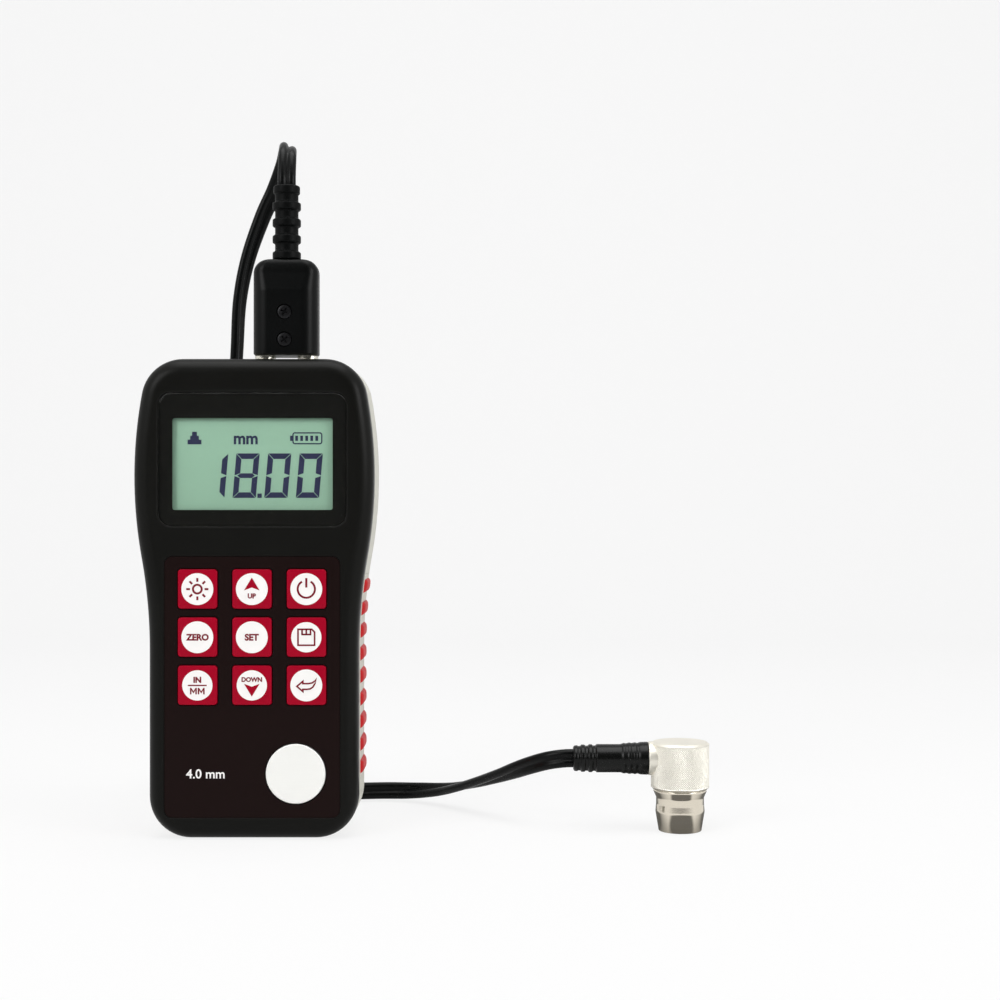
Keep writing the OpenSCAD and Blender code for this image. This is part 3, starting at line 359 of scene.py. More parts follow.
def plug_rows(side):
    """Half of the plug as rings from its foot to its top: each ring is one side of a rectangle with
    round corners, closed on the seam. The width follows a quarter circle at the shoulders, and
    the depth falls away evenly over the leaning band, then in a quarter circle. side is -1 for
    the front half."""
    turn = np.linspace(0, QUARTER, SHOULDER_STEPS)
    foot, band_z, top = plug_low[2], plug_high[2] - PLUG_BAND, plug_high[2]
    shoulder_z = top - PLUG_SHOULDER
    straight = np.array([foot, foot + PLUG_FOOT, band_z - 0.4, band_z + 0.4, shoulder_z - 0.3])
    height = np.concatenate([straight, top - PLUG_SHOULDER * (1 - np.sin(turn))])
    narrow = np.concatenate([[PLUG_FOOT], np.zeros(4), PLUG_SHOULDER * (1 - np.cos(turn))])
    roll = np.concatenate([[PLUG_FOOT], np.zeros(4), PLUG_ROLL * (1 - np.cos(turn))])
    lean = np.clip((height - band_z) / (shoulder_z - band_z), 0, 1) * PLUG_LEAN + roll
    rings = []
    for z, n, l in zip(height, narrow, lean):
        x, y, r = PLUG_W / 2 - n, PLUG_D / 2 - l, min(PLUG_CORNER - l, PLUG_W / 2 - n - 0.2)
        ring = np.concatenate([
            [[SEAM - x, 0], [-x, -SEAM]], arc(r - x, r - y, r, math.pi, 3 * QUARTER, 10),
            arc(x - r, r - y, r, 3 * QUARTER, FULL_TURN, 10), [[x, -SEAM], [x - SEAM, 0]],
        ])
        ring = ring if side < 0 else ring[::-1] * [1, -1]
        rings.append(np.column_stack([ring + [PLUG_X, PLUG_Y], np.full(len(ring), z)]))
    return np.stack(rings)


def worked_out(shape):
    """Points and faces of an object's mesh, with what its modifiers or letters make of it."""
    mesh = shape.evaluated_get(bpy.context.evaluated_depsgraph_get()).to_mesh()
    points = np.zeros(len(mesh.vertices) * 3)
    mesh.vertices.foreach_get("co", points)
    return points.reshape(-1, 3), [[list(face.vertices)] for face in mesh.polygons]


def carved(part, steps):
    """A closed solid with others joined to it or cut from it in turn. steps are (UNION or
    DIFFERENCE, list of closed parts that stand apart from each other)."""
    made = []
    for number, parts in enumerate([[part], *(step[1] for step in steps)]):
        corners, faces, _ = gathered(parts)
        mesh = bpy.data.meshes.new(f"blank_{number}")
        mesh.from_pydata(corners.tolist(), [], faces)
        made.append(bpy.data.objects.new(f"blank_{number}", mesh))
        bpy.context.scene.collection.objects.link(made[-1])
    for (operation, _), tool in zip(steps, made[1:]):
        cut = made[0].modifiers.new("cut", "BOOLEAN")
        cut.operation, cut.solver, cut.object = operation, "EXACT", tool
    points, faces = worked_out(made[0])
    for blank in made:
        mesh = blank.data
        bpy.data.objects.remove(blank)
        bpy.data.meshes.remove(mesh)
    return points, faces, 0


def even_shade(piece):
    """Keeps the flat faces of a carved piece flat in shading, by weighting normals with face area."""
    weigh = piece.modifiers.new("even_shade", "WEIGHTED_NORMAL")
    weigh.keep_sharp = True
    return piece


def turned(profile, steps=64):
    """Rings of a turned part about +Z: each profile row (radius, height) swept round the axis."""
    angle = np.linspace(0, FULL_TURN, steps, endpoint=False)
    radius, height = np.asarray(profile, float).T
    return np.stack([radius[:, None] * np.cos(angle), radius[:, None] * np.sin(angle),
                     np.repeat(height[:, None], steps, axis=1)], axis=-1)


def facing(rows, place, towards):
    """A part made about +Z, turned to look along another axis and moved to its place."""
    x, y, z = np.moveaxis(rows, -1, 0)
    turns = {"-y": (x, -z, y), "-x": (-z, y, x), "+z": (x, y, z), "+y": (x, z, -y)}
    return np.stack(turns[towards], axis=-1) + place


SCREW_Z = [plug_low[2] + 4.9, plug_low[2] + 13.6]
SCREW_HEAD_R = 2.35
SCREW_SINK = 1.6
face_y = plug_low[1]
screw_seats = [
    capped(facing(turned([[SCREW_HEAD_R + 0.1, -SCREW_SINK], [SCREW_HEAD_R + 0.1, 2]]),
                  [PLUG_X, face_y, z], "-y"))
    for z in SCREW_Z
]
plug_black = grained("plug_black", rgb(8, 9, 9), 0.32, scale=2600.0, spread=0.14, strength=0.15, specular=0.1)
plug_front = even_shade(put("plug_front", [carved(capped(plug_rows(-1)), [("DIFFERENCE", screw_seats)])],
                            [plug_black], "lead", ("plug_front_half",)))
plug_rear = even_shade(put("plug_rear", [capped(plug_rows(1))], [plug_black], "lead",
                           ("plug_rear_half",)))

# Plug screws. Two small cross-head machine screws, blackened, in round seats in the front half.
# The heads are slightly domed and stand at the angles where they came tight.
SCREW_TURNS = [math.radians(38), math.radians(62)]
CROSS_LENGTH, CROSS_WIDTH, CROSS_DEPTH = 3.0, 0.62, 0.75


def eased(points, radius, steps=4):
    """An open outline whose inner corners are replaced by parabolas that start and end one radius
    from the corner, or just under half of the shorter side there."""
    p = np.asarray(points, float)
    corner = p[1:-1]
    back, ahead = p[:-2] - corner, p[2:] - corner
    back_len, ahead_len = (np.linalg.norm(side, axis=1, keepdims=True) for side in (back, ahead))
    reach = np.minimum(radius, 0.48 * np.minimum(back_len, ahead_len))
    start, end = corner + back / back_len * reach, corner + ahead / ahead_len * reach
    t = np.linspace(0, 1, steps + 1)[None, :, None]
    curves = (1 - t) ** 2 * start[:, None] + 2 * t * (1 - t) * corner[:, None] + t**2 * end[:, None]
    return np.concatenate([p[:1], curves.reshape(-1, 2), p[-1:]])


def cross_head(turn, place):
    """A domed screw head along +Z with a cross cut into it."""
    dome = turned(eased([[0, -SCREW_SINK], [SCREW_HEAD_R, -SCREW_SINK], [SCREW_HEAD_R, -0.25],
                         [SCREW_HEAD_R * 0.7, -0.05], [0, 0]], 0.3), 40)
    arms = []
    for quarter in (0, QUARTER):
        ring = np.array([[-1, -1], [1, -1], [1, 1], [-1, 1]]) * [CROSS_LENGTH / 2, CROSS_WIDTH / 2]
        c, s = math.cos(turn + quarter), math.sin(turn + quarter)
        ring = ring @ np.array([[c, s], [-s, c]])
        rows = np.stack([np.column_stack([ring * k, np.full(4, z)]) for k, z in ((0.6, -CROSS_DEPTH), (1, 0.5))])
        arms.append(("DIFFERENCE", [capped(rows)]))
    points, faces, paint = carved(grid(dome), arms)
    return facing(points, place, "-y"), faces, paint


screw_black = grained("screw_black", rgb(26, 26, 28), 0.34, scale=3000.0, spread=0.2, metal=0.7)
plug_screws = even_shade(put(
    "plug_screw_pair", [cross_head(turn, [PLUG_X, face_y + 0.15, z]) for turn, z in zip(SCREW_TURNS, SCREW_Z)],
    [screw_black], "lead", ("plug_screws",), sharp=30))

# Plug boot. A soft black rubber sleeve with five rings that let it bend, moulded over the cord
# and held by its foot between the halves of the plug.
boot_low, boot_high = span("plug_boot")
BOOT_CORE_R = 3.7
BOOT_RING_R = (boot_high[0] - boot_low[0]) / 2
BOOT_TOP_R = BOOT_RING_R - 0.3
BOOT_RINGS, BOOT_RING_H, BOOT_RING_EDGE, BOOT_SINK = 5, 2.9, 0.35, 0.6
boot_foot = plug_high[2]
ring_pitch = (boot_high[2] - boot_foot - BOOT_RING_H) / (BOOT_RINGS - 1)
ring_low = boot_foot + np.arange(BOOT_RINGS) * ring_pitch
ring_high = ring_low + BOOT_RING_H
ring_r = np.where(np.arange(BOOT_RINGS) < BOOT_RINGS - 1, BOOT_RING_R, BOOT_TOP_R)
core_r = np.full(BOOT_RINGS, BOOT_CORE_R)
boot_profile = np.stack([
    np.stack([core_r, ring_r, ring_r, core_r], axis=-1),
    np.stack([ring_low, ring_low + BOOT_RING_EDGE, ring_high - BOOT_RING_EDGE, ring_high], axis=-1),
], axis=-1).reshape(-1, 2)
boot_profile = np.concatenate([[[0, boot_foot - BOOT_SINK], [BOOT_CORE_R, boot_foot - BOOT_SINK]], boot_profile,
                               [[0, boot_high[2]]]])
boot_black = grained("boot_black", rgb(6, 7, 7), 0.45, scale=1500.0, spread=0.15, specular=0.07)
plug_boot = put("plug_sleeve", [grid(facing(turned(eased(boot_profile, 1.0, 7)), [PLUG_X, PLUG_Y, 0], "+z"))],
                [boot_black], "lead", ("plug_boot",), sharp=60)

# Probe boot. A firm glossy rubber sleeve pressed into the probe's side stub: a ringed collar at
# the probe, a plain middle and three cut rings where the cord comes out.
boot_side_low, boot_side_high = span("probe_boot")
PROBE_X = span("probe_nose")[0][0] / 2 + span("probe_nose")[1][0] / 2
STUB_FACE_X = span("probe_housing")[0][0]
LEAD_Z = (boot_side_low[2] + boot_side_high[2]) / 2
SLEEVE = [
    [-1.5, 7.6], [0, 7.6], [0, 10.4], [2.6, 10.2], [3.4, 9.5], [4.2, 10.1], [5.1, 9.5], [6, 10], [6.9, 9.3],
    [7.8, 9.7], [8.6, 8.9], [16.4, 8.9], [16.7, 8.0], [17.5, 8.0], [17.8, 8.8], [18.8, 8.8], [19.1, 7.9],
    [19.9, 7.9], [20.2, 8.6], [21.2, 8.6], [21.5, 7.7], [22.2, 7.7], [22.5, 8.2], [23.4, 8.0], [23.8, 7.0],
]
sleeve_profile = np.array([[d / 2, along] for along, d in SLEEVE])
sleeve_profile = np.concatenate([[[0, SLEEVE[0][0]]], sleeve_profile, [[0, SLEEVE[-1][0]]]])
gloss_black = grained("probe_boot_black", rgb(9, 10, 9), 0.26, scale=1200.0, strength=0.12, specular=0.2)
put("probe_sleeve", [grid(facing(turned(eased(sleeve_profile, 0.4, 6)), [STUB_FACE_X, 0, LEAD_Z], "-x"))],
    [gloss_black], "lead", ("probe_boot",), sharp=50)

# Probe housing. A turned cap, nickel plated, with a fine crossed knurl between two plain bevels
# and a short plain stub for the boot.
house_low, house_high = span("probe_housing")
HOUSE_R = house_high[0] - PROBE_X
HOUSE_EDGE = 0.7
STUB_R = 5.3
KNURL_AROUND, KNURL_DEPTH, KNURL_SAMPLES = 84, 0.24, 6
# the last is the share of the plating's colour left by painted shade at the bottom of the knurl's grooves
KNURL_SLOPE, KNURL_FADE, GROOVE_SHADE = 1.0, 0.35, 0.84
KNURL_PITCH = FULL_TURN * HOUSE_R / KNURL_AROUND


def knurled():
    """Rings of the housing: between the bevels the radius dips by the lesser of two triangle waves
    that wind round the cap in opposite directions, which leaves small pyramids."""
    low, high = house_low[2] + HOUSE_EDGE, house_high[2] - HOUSE_EDGE
    steps = KNURL_AROUND * KNURL_SAMPLES
    height = np.linspace(low, high, int((high - low) / KNURL_PITCH * KNURL_SAMPLES))[:, None]
    angle = np.linspace(0, FULL_TURN, steps, endpoint=False)[None, :]
    waves = [np.abs(2 * ((angle * HOUSE_R + way * KNURL_SLOPE * height) / KNURL_PITCH % 1) - 1) for way in (1, -1)]
    fade = np.clip(np.minimum(height - low, high - height) / KNURL_FADE, 0, 1)
    radius = HOUSE_R - KNURL_DEPTH * (1 - np.minimum(*waves)) * fade
    side = np.stack([radius * np.cos(angle), radius * np.sin(angle), height + 0 * angle], axis=-1)
    foot = turned([[0, house_low[2]], [HOUSE_R - HOUSE_EDGE, house_low[2]]], steps)
    top = turned([[HOUSE_R - HOUSE_EDGE, house_high[2] - 0.08], [HOUSE_R - 1.2, house_high[2]],
                  [0, house_high[2]]], steps)
    return np.concatenate([foot, side[:1]]), side, np.concatenate([side[-1:], top])


def lathe_rings(tree, at, scale):
    """Noise by height alone, which draws rings round the part's axis."""
    step = calc(tree, "MULTIPLY", add(tree, "SeparateXYZ", {0: at}).outputs["Z"], scale)
    return add(tree, "TexNoise", {"W": step, "Scale": 1.0, "Detail": 3.0}, noise_dimensions="1D").outputs["Fac"]


# Turned metal: fine rings round the part's axis show in the gloss and as a faint bump, and a
# broad cloud of handling dulls the plating unevenly.
lathe_group = surface_group("turned_metal", lathe_rings, broad_scale=240.0, broad_detail=5.0, gloss_swing=0.2)


def lathe_metal(name, colour, gloss, scale=9000.0, lift=0.004, metal=1.0):
    """Plated or bare turned metal. scale is rings per metre of height, lift the bump in mm."""
    return grained(name, colour, gloss, scale, spread=0.08, lift=lift, strength=0.2, metal=metal, surface=lathe_group)


def ranged(tree, value, low, high, start=0.0, end=1.0):
    """A value between start and end turned into one between low and high, and held there beyond."""
    return add(tree, "MapRange", {"Value": value, "From Min": start, "From Max": end, "To Min": low,
                                  "To Max": high}).outputs[0]


def painted_groove_shade(material):
    """The knurl's two waves worked out again from the place on the cap, as in its mesh: painted shade darkens the
    base colour towards the bottom of the grooves."""
    tree = material.node_tree
    shader = tree.nodes["Principled BSDF"]
    at = add(tree, "TexCoord").outputs["Object"]
    place = add(tree, "SeparateXYZ", {0: add(tree, "VectorMath", {0: at, 1: (-PROBE_X * MM, 0, 0)}).outputs[0]}).outputs
    around = calc(tree, "MULTIPLY", calc(tree, "ARCTAN2", place["Y"], place["X"]), HOUSE_R / KNURL_PITCH)
    up = calc(tree, "MULTIPLY", place["Z"], KNURL_SLOPE / (KNURL_PITCH * MM))
    waves = [calc(tree, "PINGPONG", calc(tree, way, around, up), 0.5) for way in ("ADD", "SUBTRACT")]
    least = calc(tree, "MINIMUM", *(calc(tree, "MULTIPLY_ADD", wave, -2.0, 1.0) for wave in waves))
    plain = shader.inputs["Base Color"].links[0].from_socket
    feed(tree, shader, {"Base Color": scaled(tree, plain, ranged(tree, least, GROOVE_SHADE, 1.0))})
    return material


plain_nickel = lathe_metal("plain_nickel", rgb(240, 236, 224), 0.42, scale=2500.0, metal=0.8)
# the knurled plating gets painted shade, its colour darker towards the bottom of the grooves
knurl_nickel = painted_groove_shade(lathe_metal("knurl_nickel", rgb(250, 247, 236), 0.4, scale=2500.0, metal=0.75))
stub = turned(eased([[0, 0], [STUB_R, 0], [STUB_R, PROBE_X - STUB_FACE_X], [0, PROBE_X - STUB_FACE_X]], 0.35))
cap_parts = [grid(rings + [PROBE_X, 0, 0], paint=ink) for rings, ink in zip(knurled(), (1, 0, 1))]
put("probe_cap", [*cap_parts, grid(facing(stub, [PROBE_X, 0, LEAD_Z], "-x"), paint=1)],
    [knurl_nickel, plain_nickel], "lead", ("probe_housing",), sharp=50)

# Probe nose. Brass, turned, nickel plated and polished: a flared contact end, a waist and a skirt
# under the cap. The two resin delay lines and the cork between them fill its bore.
NOSE_BORE_R = 5.4
NOSE = [
    [NOSE_BORE_R, 13.2], [NOSE_BORE_R, 0], [6.75, 0], [7.75, 6.0], [7.75, 6.4], [7.55, 8.5], [7.55, 10.6],
    [8.45, 12.6], [8.45, 13.2], [NOSE_BORE_R, 13.2],
]
polished_nickel = lathe_metal("polished_nickel", rgb(224, 216, 200), 0.12, scale=4000.0, lift=0.002)
put("probe_tip", [grid(facing(turned(eased(NOSE, 0.25, 5), 96), [PROBE_X, 0, 0], "+z"))], [polished_nickel],
    "lead", ("probe_nose",), sharp=50)

# Rear shell. Light warm-grey ABS, injection moulded with a fine grain: rounded back edge, deep
# screw wells, a bay for two cells behind a sliding door, and a shallow seat for each side grip.
case_low, case_high = span("rear_shell")
CASE_H = case_high[2]
HEAD_X, WAIST_X = case_high[0], 32.4
HEAD_Z, WAIST_Z = CASE_H - 36.5, 58.0
HEAD_R, CORNER_R = 142.0, 13.0
BACK, PARTING = -case_high[1], -case_low[1]
BACK_ROUND, WALL, SEAM_EDGE = 6.0, 2.2, 0.3
flare_reach, flare_rise = WAIST_X - HEAD_X + HEAD_R, HEAD_Z - WAIST_Z
FLARE_R = (flare_reach**2 + flare_rise**2 - HEAD_R**2) / (2 * (HEAD_R - flare_reach))
flare_angle = math.asin(flare_rise / (HEAD_R + FLARE_R))
top_rise = CASE_H - CORNER_R - HEAD_Z
top_x = HEAD_X - HEAD_R + math.sqrt((HEAD_R - CORNER_R) ** 2 - top_rise**2)
head_angle = math.asin(top_rise / (HEAD_R - CORNER_R))


def case_outline(inset):
    """The case seen from the front, moved inwards: straight lower sides, a hollow flare and bowed head
    sides as arcs that meet on common tangents, and round corners. Right half, then its mirror."""
    half = np.concatenate([
        arc(WAIST_X - CORNER_R, CORNER_R, CORNER_R - inset, -QUARTER, 0, 14),
        arc(WAIST_X + FLARE_R, WAIST_Z, FLARE_R + inset, math.pi, math.pi - flare_angle, 14),
        arc(HEAD_X - HEAD_R, HEAD_Z, HEAD_R - inset, -flare_angle, head_angle, 18)[1:],
        arc(top_x, CASE_H - CORNER_R, CORNER_R - inset, head_angle, QUARTER, 14)[1:],
    ])
    return np.concatenate([half, half[::-1] * [-1, 1]])


def upright(outline, level):
    """A plan outline, x and height, stood up at a level towards the display."""
    return np.column_stack([outline[:, 0], np.full(len(outline), -level), outline[:, 1]])


def skin(layers):
    """Rings of the case: each layer is an inset of the case outline and a level, from back to front."""
    return capped(np.stack([upright(case_outline(inset), level) for inset, level in layers]))


def slab(outline, low, high):
    """A plan outline as a solid between two levels."""
    return capped(np.stack([upright(outline, low), upright(outline, high)]))


def layered(x, z, width, height, radius, layers):
    """A plate with round corners in layers: each is an inset of its outline and a level."""
    return capped(np.stack([
        upright(round_rect(width - 2 * inset, height - 2 * inset, radius - inset) + [x, z], level)
        for inset, level in layers
    ]))


def plate(x, z, width, height, radius, low, high):
    """A plate with round corners, stood up between two levels."""
    return layered(x, z, width, height, radius, [(0, low), (0, high)])


def well(x, z, radius, low, high, steps=40):
    """A round bar between two levels, towards the display."""
    return capped(facing(turned([[radius, low], [radius, high]], steps), [x, 0, z], "-y"))


def side_x(z, inset):
    """Half-width of the case at a height, moved inwards: the straight side, then the hollow flare."""
    rise = np.clip(z - WAIST_Z, 0, None)
    return WAIST_X + FLARE_R - np.sqrt((FLARE_R + inset) ** 2 - rise**2)


back_turn = np.linspace(QUARTER, 0, 10)
rear_outer = [*zip(BACK_ROUND * (1 - np.cos(back_turn)), BACK + BACK_ROUND * (1 - np.sin(back_turn))),
              (0, PARTING - SEAM_EDGE), (SEAM_EDGE, PARTING)]
inner_round = BACK_ROUND - WALL
rear_inner = [*zip(WALL + inner_round * (1 - np.cos(back_turn)), BACK + BACK_ROUND - inner_round * np.sin(back_turn)),
              (WALL, PARTING + 1)]
door_low, door_high = span("battery_door")
DOOR_W, DOOR_T = door_high[0] - door_low[0] - 2, door_high[1] - door_low[1]
CHANNEL_GAP, TONGUE, BAY_WALL, LIP_T = 0.3, 1.0, 1.6, 0.7
channel_w, groove_w = DOOR_W + 2 * CHANNEL_GAP, DOOR_W + 2 * (TONGUE + CHANNEL_GAP)
channel_floor, channel_top = BACK + DOOR_T + CHANNEL_GAP, door_high[2] + CHANNEL_GAP
tray_w, tray_top = groove_w + 2 * BAY_WALL, channel_floor + BAY_WALL
cell_low = span("battery_left")[0]
BAY_W = 2 * (0.5 - cell_low[0])
bay_low, bay_high = span("contact_plates")[0][2], span("contact_plates")[1][2]
bay_ceiling = 0.5 - cell_low[1]
SCREW_WELLS = [(s * (WAIST_X - 7), 14) for s in (-1, 1)] + [(s * (HEAD_X - 9.2), CASE_H - 9.8) for s in (-1, 1)]
WELL_R, WELL_FLOOR, POST_R, SHAFT_R = 2.8, BACK + 8, 3.8, 1.7
grip_low, grip_high = span("right_grip")
GRIP_T, GRIP_GAP = 1.0, 0.1
SEAT_STEPS = 24
strip_z = np.linspace(grip_low[2] - GRIP_GAP, grip_high[2] + GRIP_GAP, SEAT_STEPS)
seat_outline = np.concatenate([
    np.column_stack([np.full(SEAT_STEPS, HEAD_X + 5), strip_z]),
    np.column_stack([side_x(strip_z, GRIP_T + GRIP_GAP), strip_z])[::-1],
])
grip_seats = [slab(outline, -grip_high[1] - GRIP_GAP, GRIP_GAP - grip_low[1])
              for outline in (seat_outline, seat_outline[::-1] * [-1, 1])]
SOCKET_HOLE_R, SOCKET_PITCH = 3.6, 13.5
socket_holes = [
    capped(facing(turned([[SOCKET_HOLE_R, CASE_H - 4], [SOCKET_HOLE_R, CASE_H + 1]]),
                  [PLUG_X + s * SOCKET_PITCH / 2, PLUG_Y, 0], "+z"))
    for s in (-1, 1)
]


def rectangle(x0, z0, x1, z1):
    """Four corners, counter-clockwise."""
    return np.array([[x0, z0], [x1, z0], [x1, z1], [x0, z1]])


def block(width, z0, z1, low, high):
    """A plain block across the middle of the case between two heights and two levels."""
    return slab(rectangle(-width / 2, z0, width / 2, z1), low, high)


rear_part = carved(skin(rear_outer), [
    ("DIFFERENCE", [skin(rear_inner)]),
    ("UNION", [block(tray_w, WALL / 2, WALL + 1, BACK + WALL + 1, tray_top)]),
    ("UNION", [block(tray_w, WALL + 0.5, channel_top + BAY_WALL, BACK + WALL / 2, tray_top)]),
    ("UNION", [block(BAY_W + 2 * BAY_WALL, bay_low - BAY_WALL, bay_high + BAY_WALL, BACK + WALL,
                     bay_ceiling + BAY_WALL)]),
    ("UNION", [well(x, z, POST_R, BACK + WALL / 2, PARTING) for x, z in SCREW_WELLS]),
    ("DIFFERENCE", [block(BAY_W, bay_low, bay_high, BACK - 2, bay_ceiling)]),
    ("DIFFERENCE", [block(channel_w, -1, channel_top, BACK - 1, channel_floor)]),
    ("DIFFERENCE", [block(groove_w, -1.5, channel_top - 0.01, BACK + LIP_T, channel_floor - 0.01)]),
    ("DIFFERENCE", [well(x, z, WELL_R, BACK - 1, WELL_FLOOR) for x, z in SCREW_WELLS]),
    ("DIFFERENCE", [well(x, z, SHAFT_R, BACK - 0.5, PARTING + 1) for x, z in SCREW_WELLS]),
    ("DIFFERENCE", grip_seats),
    ("DIFFERENCE", socket_holes),
])
shell_cream = grained("shell_cream", rgb(205, 204, 193), 0.5, scale=2200.0, spread=0.05, lift=0.03, strength=0.3)
even_shade(put("rear_case", [rear_part], [shell_cream], "gauge", ("rear_shell",), sharp=30))

# Battery door. The same grey ABS, a flat tray that slides up into grooves in the rear shell, with
# five thumb grooves across its lower end.
DOOR_R, DOOR_EDGE, TONGUE_END = 2.0, 0.35, 2
THUMB_GROOVES, THUMB_PITCH, THUMB_H, THUMB_W, THUMB_T, THUMB_START = 5, 2.4, 1.2, 18.0, 0.6, 8.0
door_z, door_h = (door_low[2] + door_high[2]) / 2, door_high[2] - door_low[2]
edge_turn = np.linspace(QUARTER, 0, 5)
door_layers = [*zip(DOOR_EDGE * (1 - np.cos(edge_turn)), BACK + DOOR_EDGE * (1 - np.sin(edge_turn))),
               (0, BACK + DOOR_T)]
thumb_grooves = [
    plate(0, door_low[2] + THUMB_START + THUMB_H / 2 + i * THUMB_PITCH, THUMB_W, THUMB_H, THUMB_H / 2 - 0.01,
          BACK - 1, BACK + THUMB_T)
    for i in range(THUMB_GROOVES)
]
tongues = block(DOOR_W + 2 * TONGUE, door_low[2] + TONGUE_END, door_high[2] - TONGUE_END,
                BACK + LIP_T + CHANNEL_GAP, BACK + DOOR_T - 0.01)
door_part = carved(layered(0, door_z, DOOR_W, door_h, DOOR_R, door_layers),
                   [("UNION", [tongues]), ("DIFFERENCE", thumb_grooves)])
even_shade(put("cell_door", [door_part], [shell_cream], "door", ("battery_door",), sharp=30))

# Side grips. Strips let into the seats of the rear shell, each moulded in two shots: a strip in the
# shell's light grey, and nine red rubber cross ribs that stand out of it.
RIBS, RIB_PITCH, RIB_H, RIB_RISE, RIB_POWER = 9, 7.1, 4.1, 1.1, 3.0
RIB_FIRST = grip_low[2] + 3.6
GRIP_ROWS, GRIP_COLUMNS = 460, 25
grip_z = np.linspace(grip_low[2], grip_high[2], GRIP_ROWS)
rib_middle = RIB_FIRST + RIB_PITCH * np.arange(RIBS)
from_rib = np.abs(grip_z[:, None] - rib_middle).min(axis=1) / (RIB_H / 2)
rib_share = np.clip(1 - from_rib**RIB_POWER, 0, 1)
rib_rise = RIB_RISE * np.sqrt(rib_share)


def grip_rows(side):
    """Rings up the grip: the outer face follows the case side and swells at each rib as a flattened
    half round, falling off towards both edges by an eighth power, and the inner face is set in by the
    strip's thickness."""
    share = np.linspace(-1, 1, GRIP_COLUMNS)
    middle, half = (grip_low[1] + grip_high[1]) / 2, (grip_high[1] - grip_low[1]) / 2
    out = rib_rise[:, None] * (1 - np.abs(share) ** 8)[None]
    outer_x = side_x(grip_z, 0)[:, None] + out
    inner_x = np.repeat(side_x(grip_z, GRIP_T)[:, None], 2, axis=1)
    x = np.concatenate([outer_x, inner_x], axis=1)
    y = np.tile(np.concatenate([middle + half * share, [grip_high[1], grip_low[1]]]), (GRIP_ROWS, 1))
    rows = np.stack([side * x, y, np.tile(grip_z[:, None], (1, x.shape[1]))], axis=-1)
    return rows if side > 0 else rows[:, ::-1]


grip_red = grained("grip_red", rgb(190, 26, 30), 0.5, scale=1400.0, spread=0.14, lift=0.05, strength=0.35,
                   specular=0.2)
for side, name in ((-1, "left"), (1, "right")):
    points, (quads, *ends), _ = capped(grip_rows(side))
    ribbed = np.repeat(np.maximum(rib_share[:-1], rib_share[1:]) > 0, len(quads) // (GRIP_ROWS - 1))
    put(f"grip_{name}", [(points, [quads[ribbed]], 0), (points, [quads[~ribbed], *ends], 1)],
        [grip_red, shell_cream], "gauge", (f"{name}_grip",), sharp=40)

# Front cover. Black ABS with a fine grain: a broad soft round all along its edge, a pocket for the
# display window with a rounded lip, a shallow pocket for the keypad film, square key holes
# and a cup for the reference disc.
FRONT = -span("front_shell")[0][1]
FRONT_ROUND = 5.0
front_turn = np.linspace(0, QUARTER, 16)
front_outer = [(SEAM_EDGE, PARTING), (0, PARTING + SEAM_EDGE),
               *zip(FRONT_ROUND * (1 - np.cos(front_turn)), FRONT - FRONT_ROUND * (1 - np.sin(front_turn)))]
front_inner_round = FRONT_ROUND - WALL
front_inner = [(WALL, PARTING - 1),
               *zip(WALL + front_inner_round * (1 - np.cos(front_turn)),
                    FRONT - FRONT_ROUND + front_inner_round * np.sin(front_turn))]


def front_box(node):
    """A CAD node seen from the front: middle in x and z, width, height, back level and front level."""
    low, high = span(node)
    (x, _, z), (width, _, height) = (low + high) / 2, high - low
    return x, z, width, height, -high[1], -low[1]


_, LENS_Z, LENS_W, LENS_H, LENS_BACK, LENS_FRONT = front_box("window_lens")
_, FILM_Z, FILM_W, FILM_H, FILM_BACK, FILM_FRONT = front_box("keypad_overlay")
DISC_X, DISC_Z, disc_w, _, DISC_BACK, DISC_FRONT = front_box("calibration_disc")
LENS_R, LENS_LIP, LENS_BOW, FILM_R, FILM_LIP = 4.0, 0.55, 0.7, 2.5, 0.3
VIEW_W, VIEW_H, VIEW_Z, VIEW_EDGE = 49.4, 28.3, LENS_Z - 1.4, 0.6
KEYS = ["light", "up", "power", "zero", "set", "save", "unit", "down", "enter"]
key_middle = {name: np.array(front_box("key_" + name)[:2]) for name in KEYS}
KEY_W, KEY_R, KEY_GAP = 12.1, 1.0, 0.3
SEAT_GAP, LEDGE_T, LEDGE_LIP = 0.1, 1.2, 2.0
DISC_R, DISC_GAP, CUP_WALL, BOSS_R, OVERLAP = disc_w / 2, 0.35, 1.5, 3, 0.2
inner_face, hole_w = FRONT - WALL + OVERLAP, KEY_W + 2 * KEY_GAP


def finer(outline, step):
    """A closed outline with extra points along its edges, no more than a step apart."""
    loop = np.concatenate([outline, outline[:1]])
    along = np.concatenate([[0], np.cumsum(np.linalg.norm(np.diff(loop, axis=0), axis=1))])
    places = np.unique(np.concatenate([along[:-1], np.arange(0, along[-1], step)]))
    return np.stack([np.interp(places, along, loop[:, i]) for i in (0, 1)], axis=-1)


def pocket(x, z, width, height, radius, floor, lip, bow=0.0):
    """A tool that sinks a pocket with a rounded lip: straight walls, then a quarter circle that opens
    the outline by the lip's radius where it meets the front face. The lip of the upper and lower
    sides widens towards their middle by the bow, as a parabola."""
    wall = finer(round_rect(width, height, radius), 2.0)
    centre = np.clip(wall, [radius - width / 2, radius - height / 2], [width / 2 - radius, height / 2 - radius])
    out = (wall - centre) / radius * lip
    out[:, 1] += bow * np.sign(wall[:, 1]) * np.clip(1 - (2.2 * wall[:, 0] / width) ** 2, 0, 1)
    turn = np.linspace(0, QUARTER, 7)
    layers = [(0, floor), *zip(1 - np.cos(turn), FRONT - lip * (1 - np.sin(turn))), (1, FRONT + 1)]
    return capped(np.stack([upright(wall + share * out + [x, z], level) for share, level in layers]))


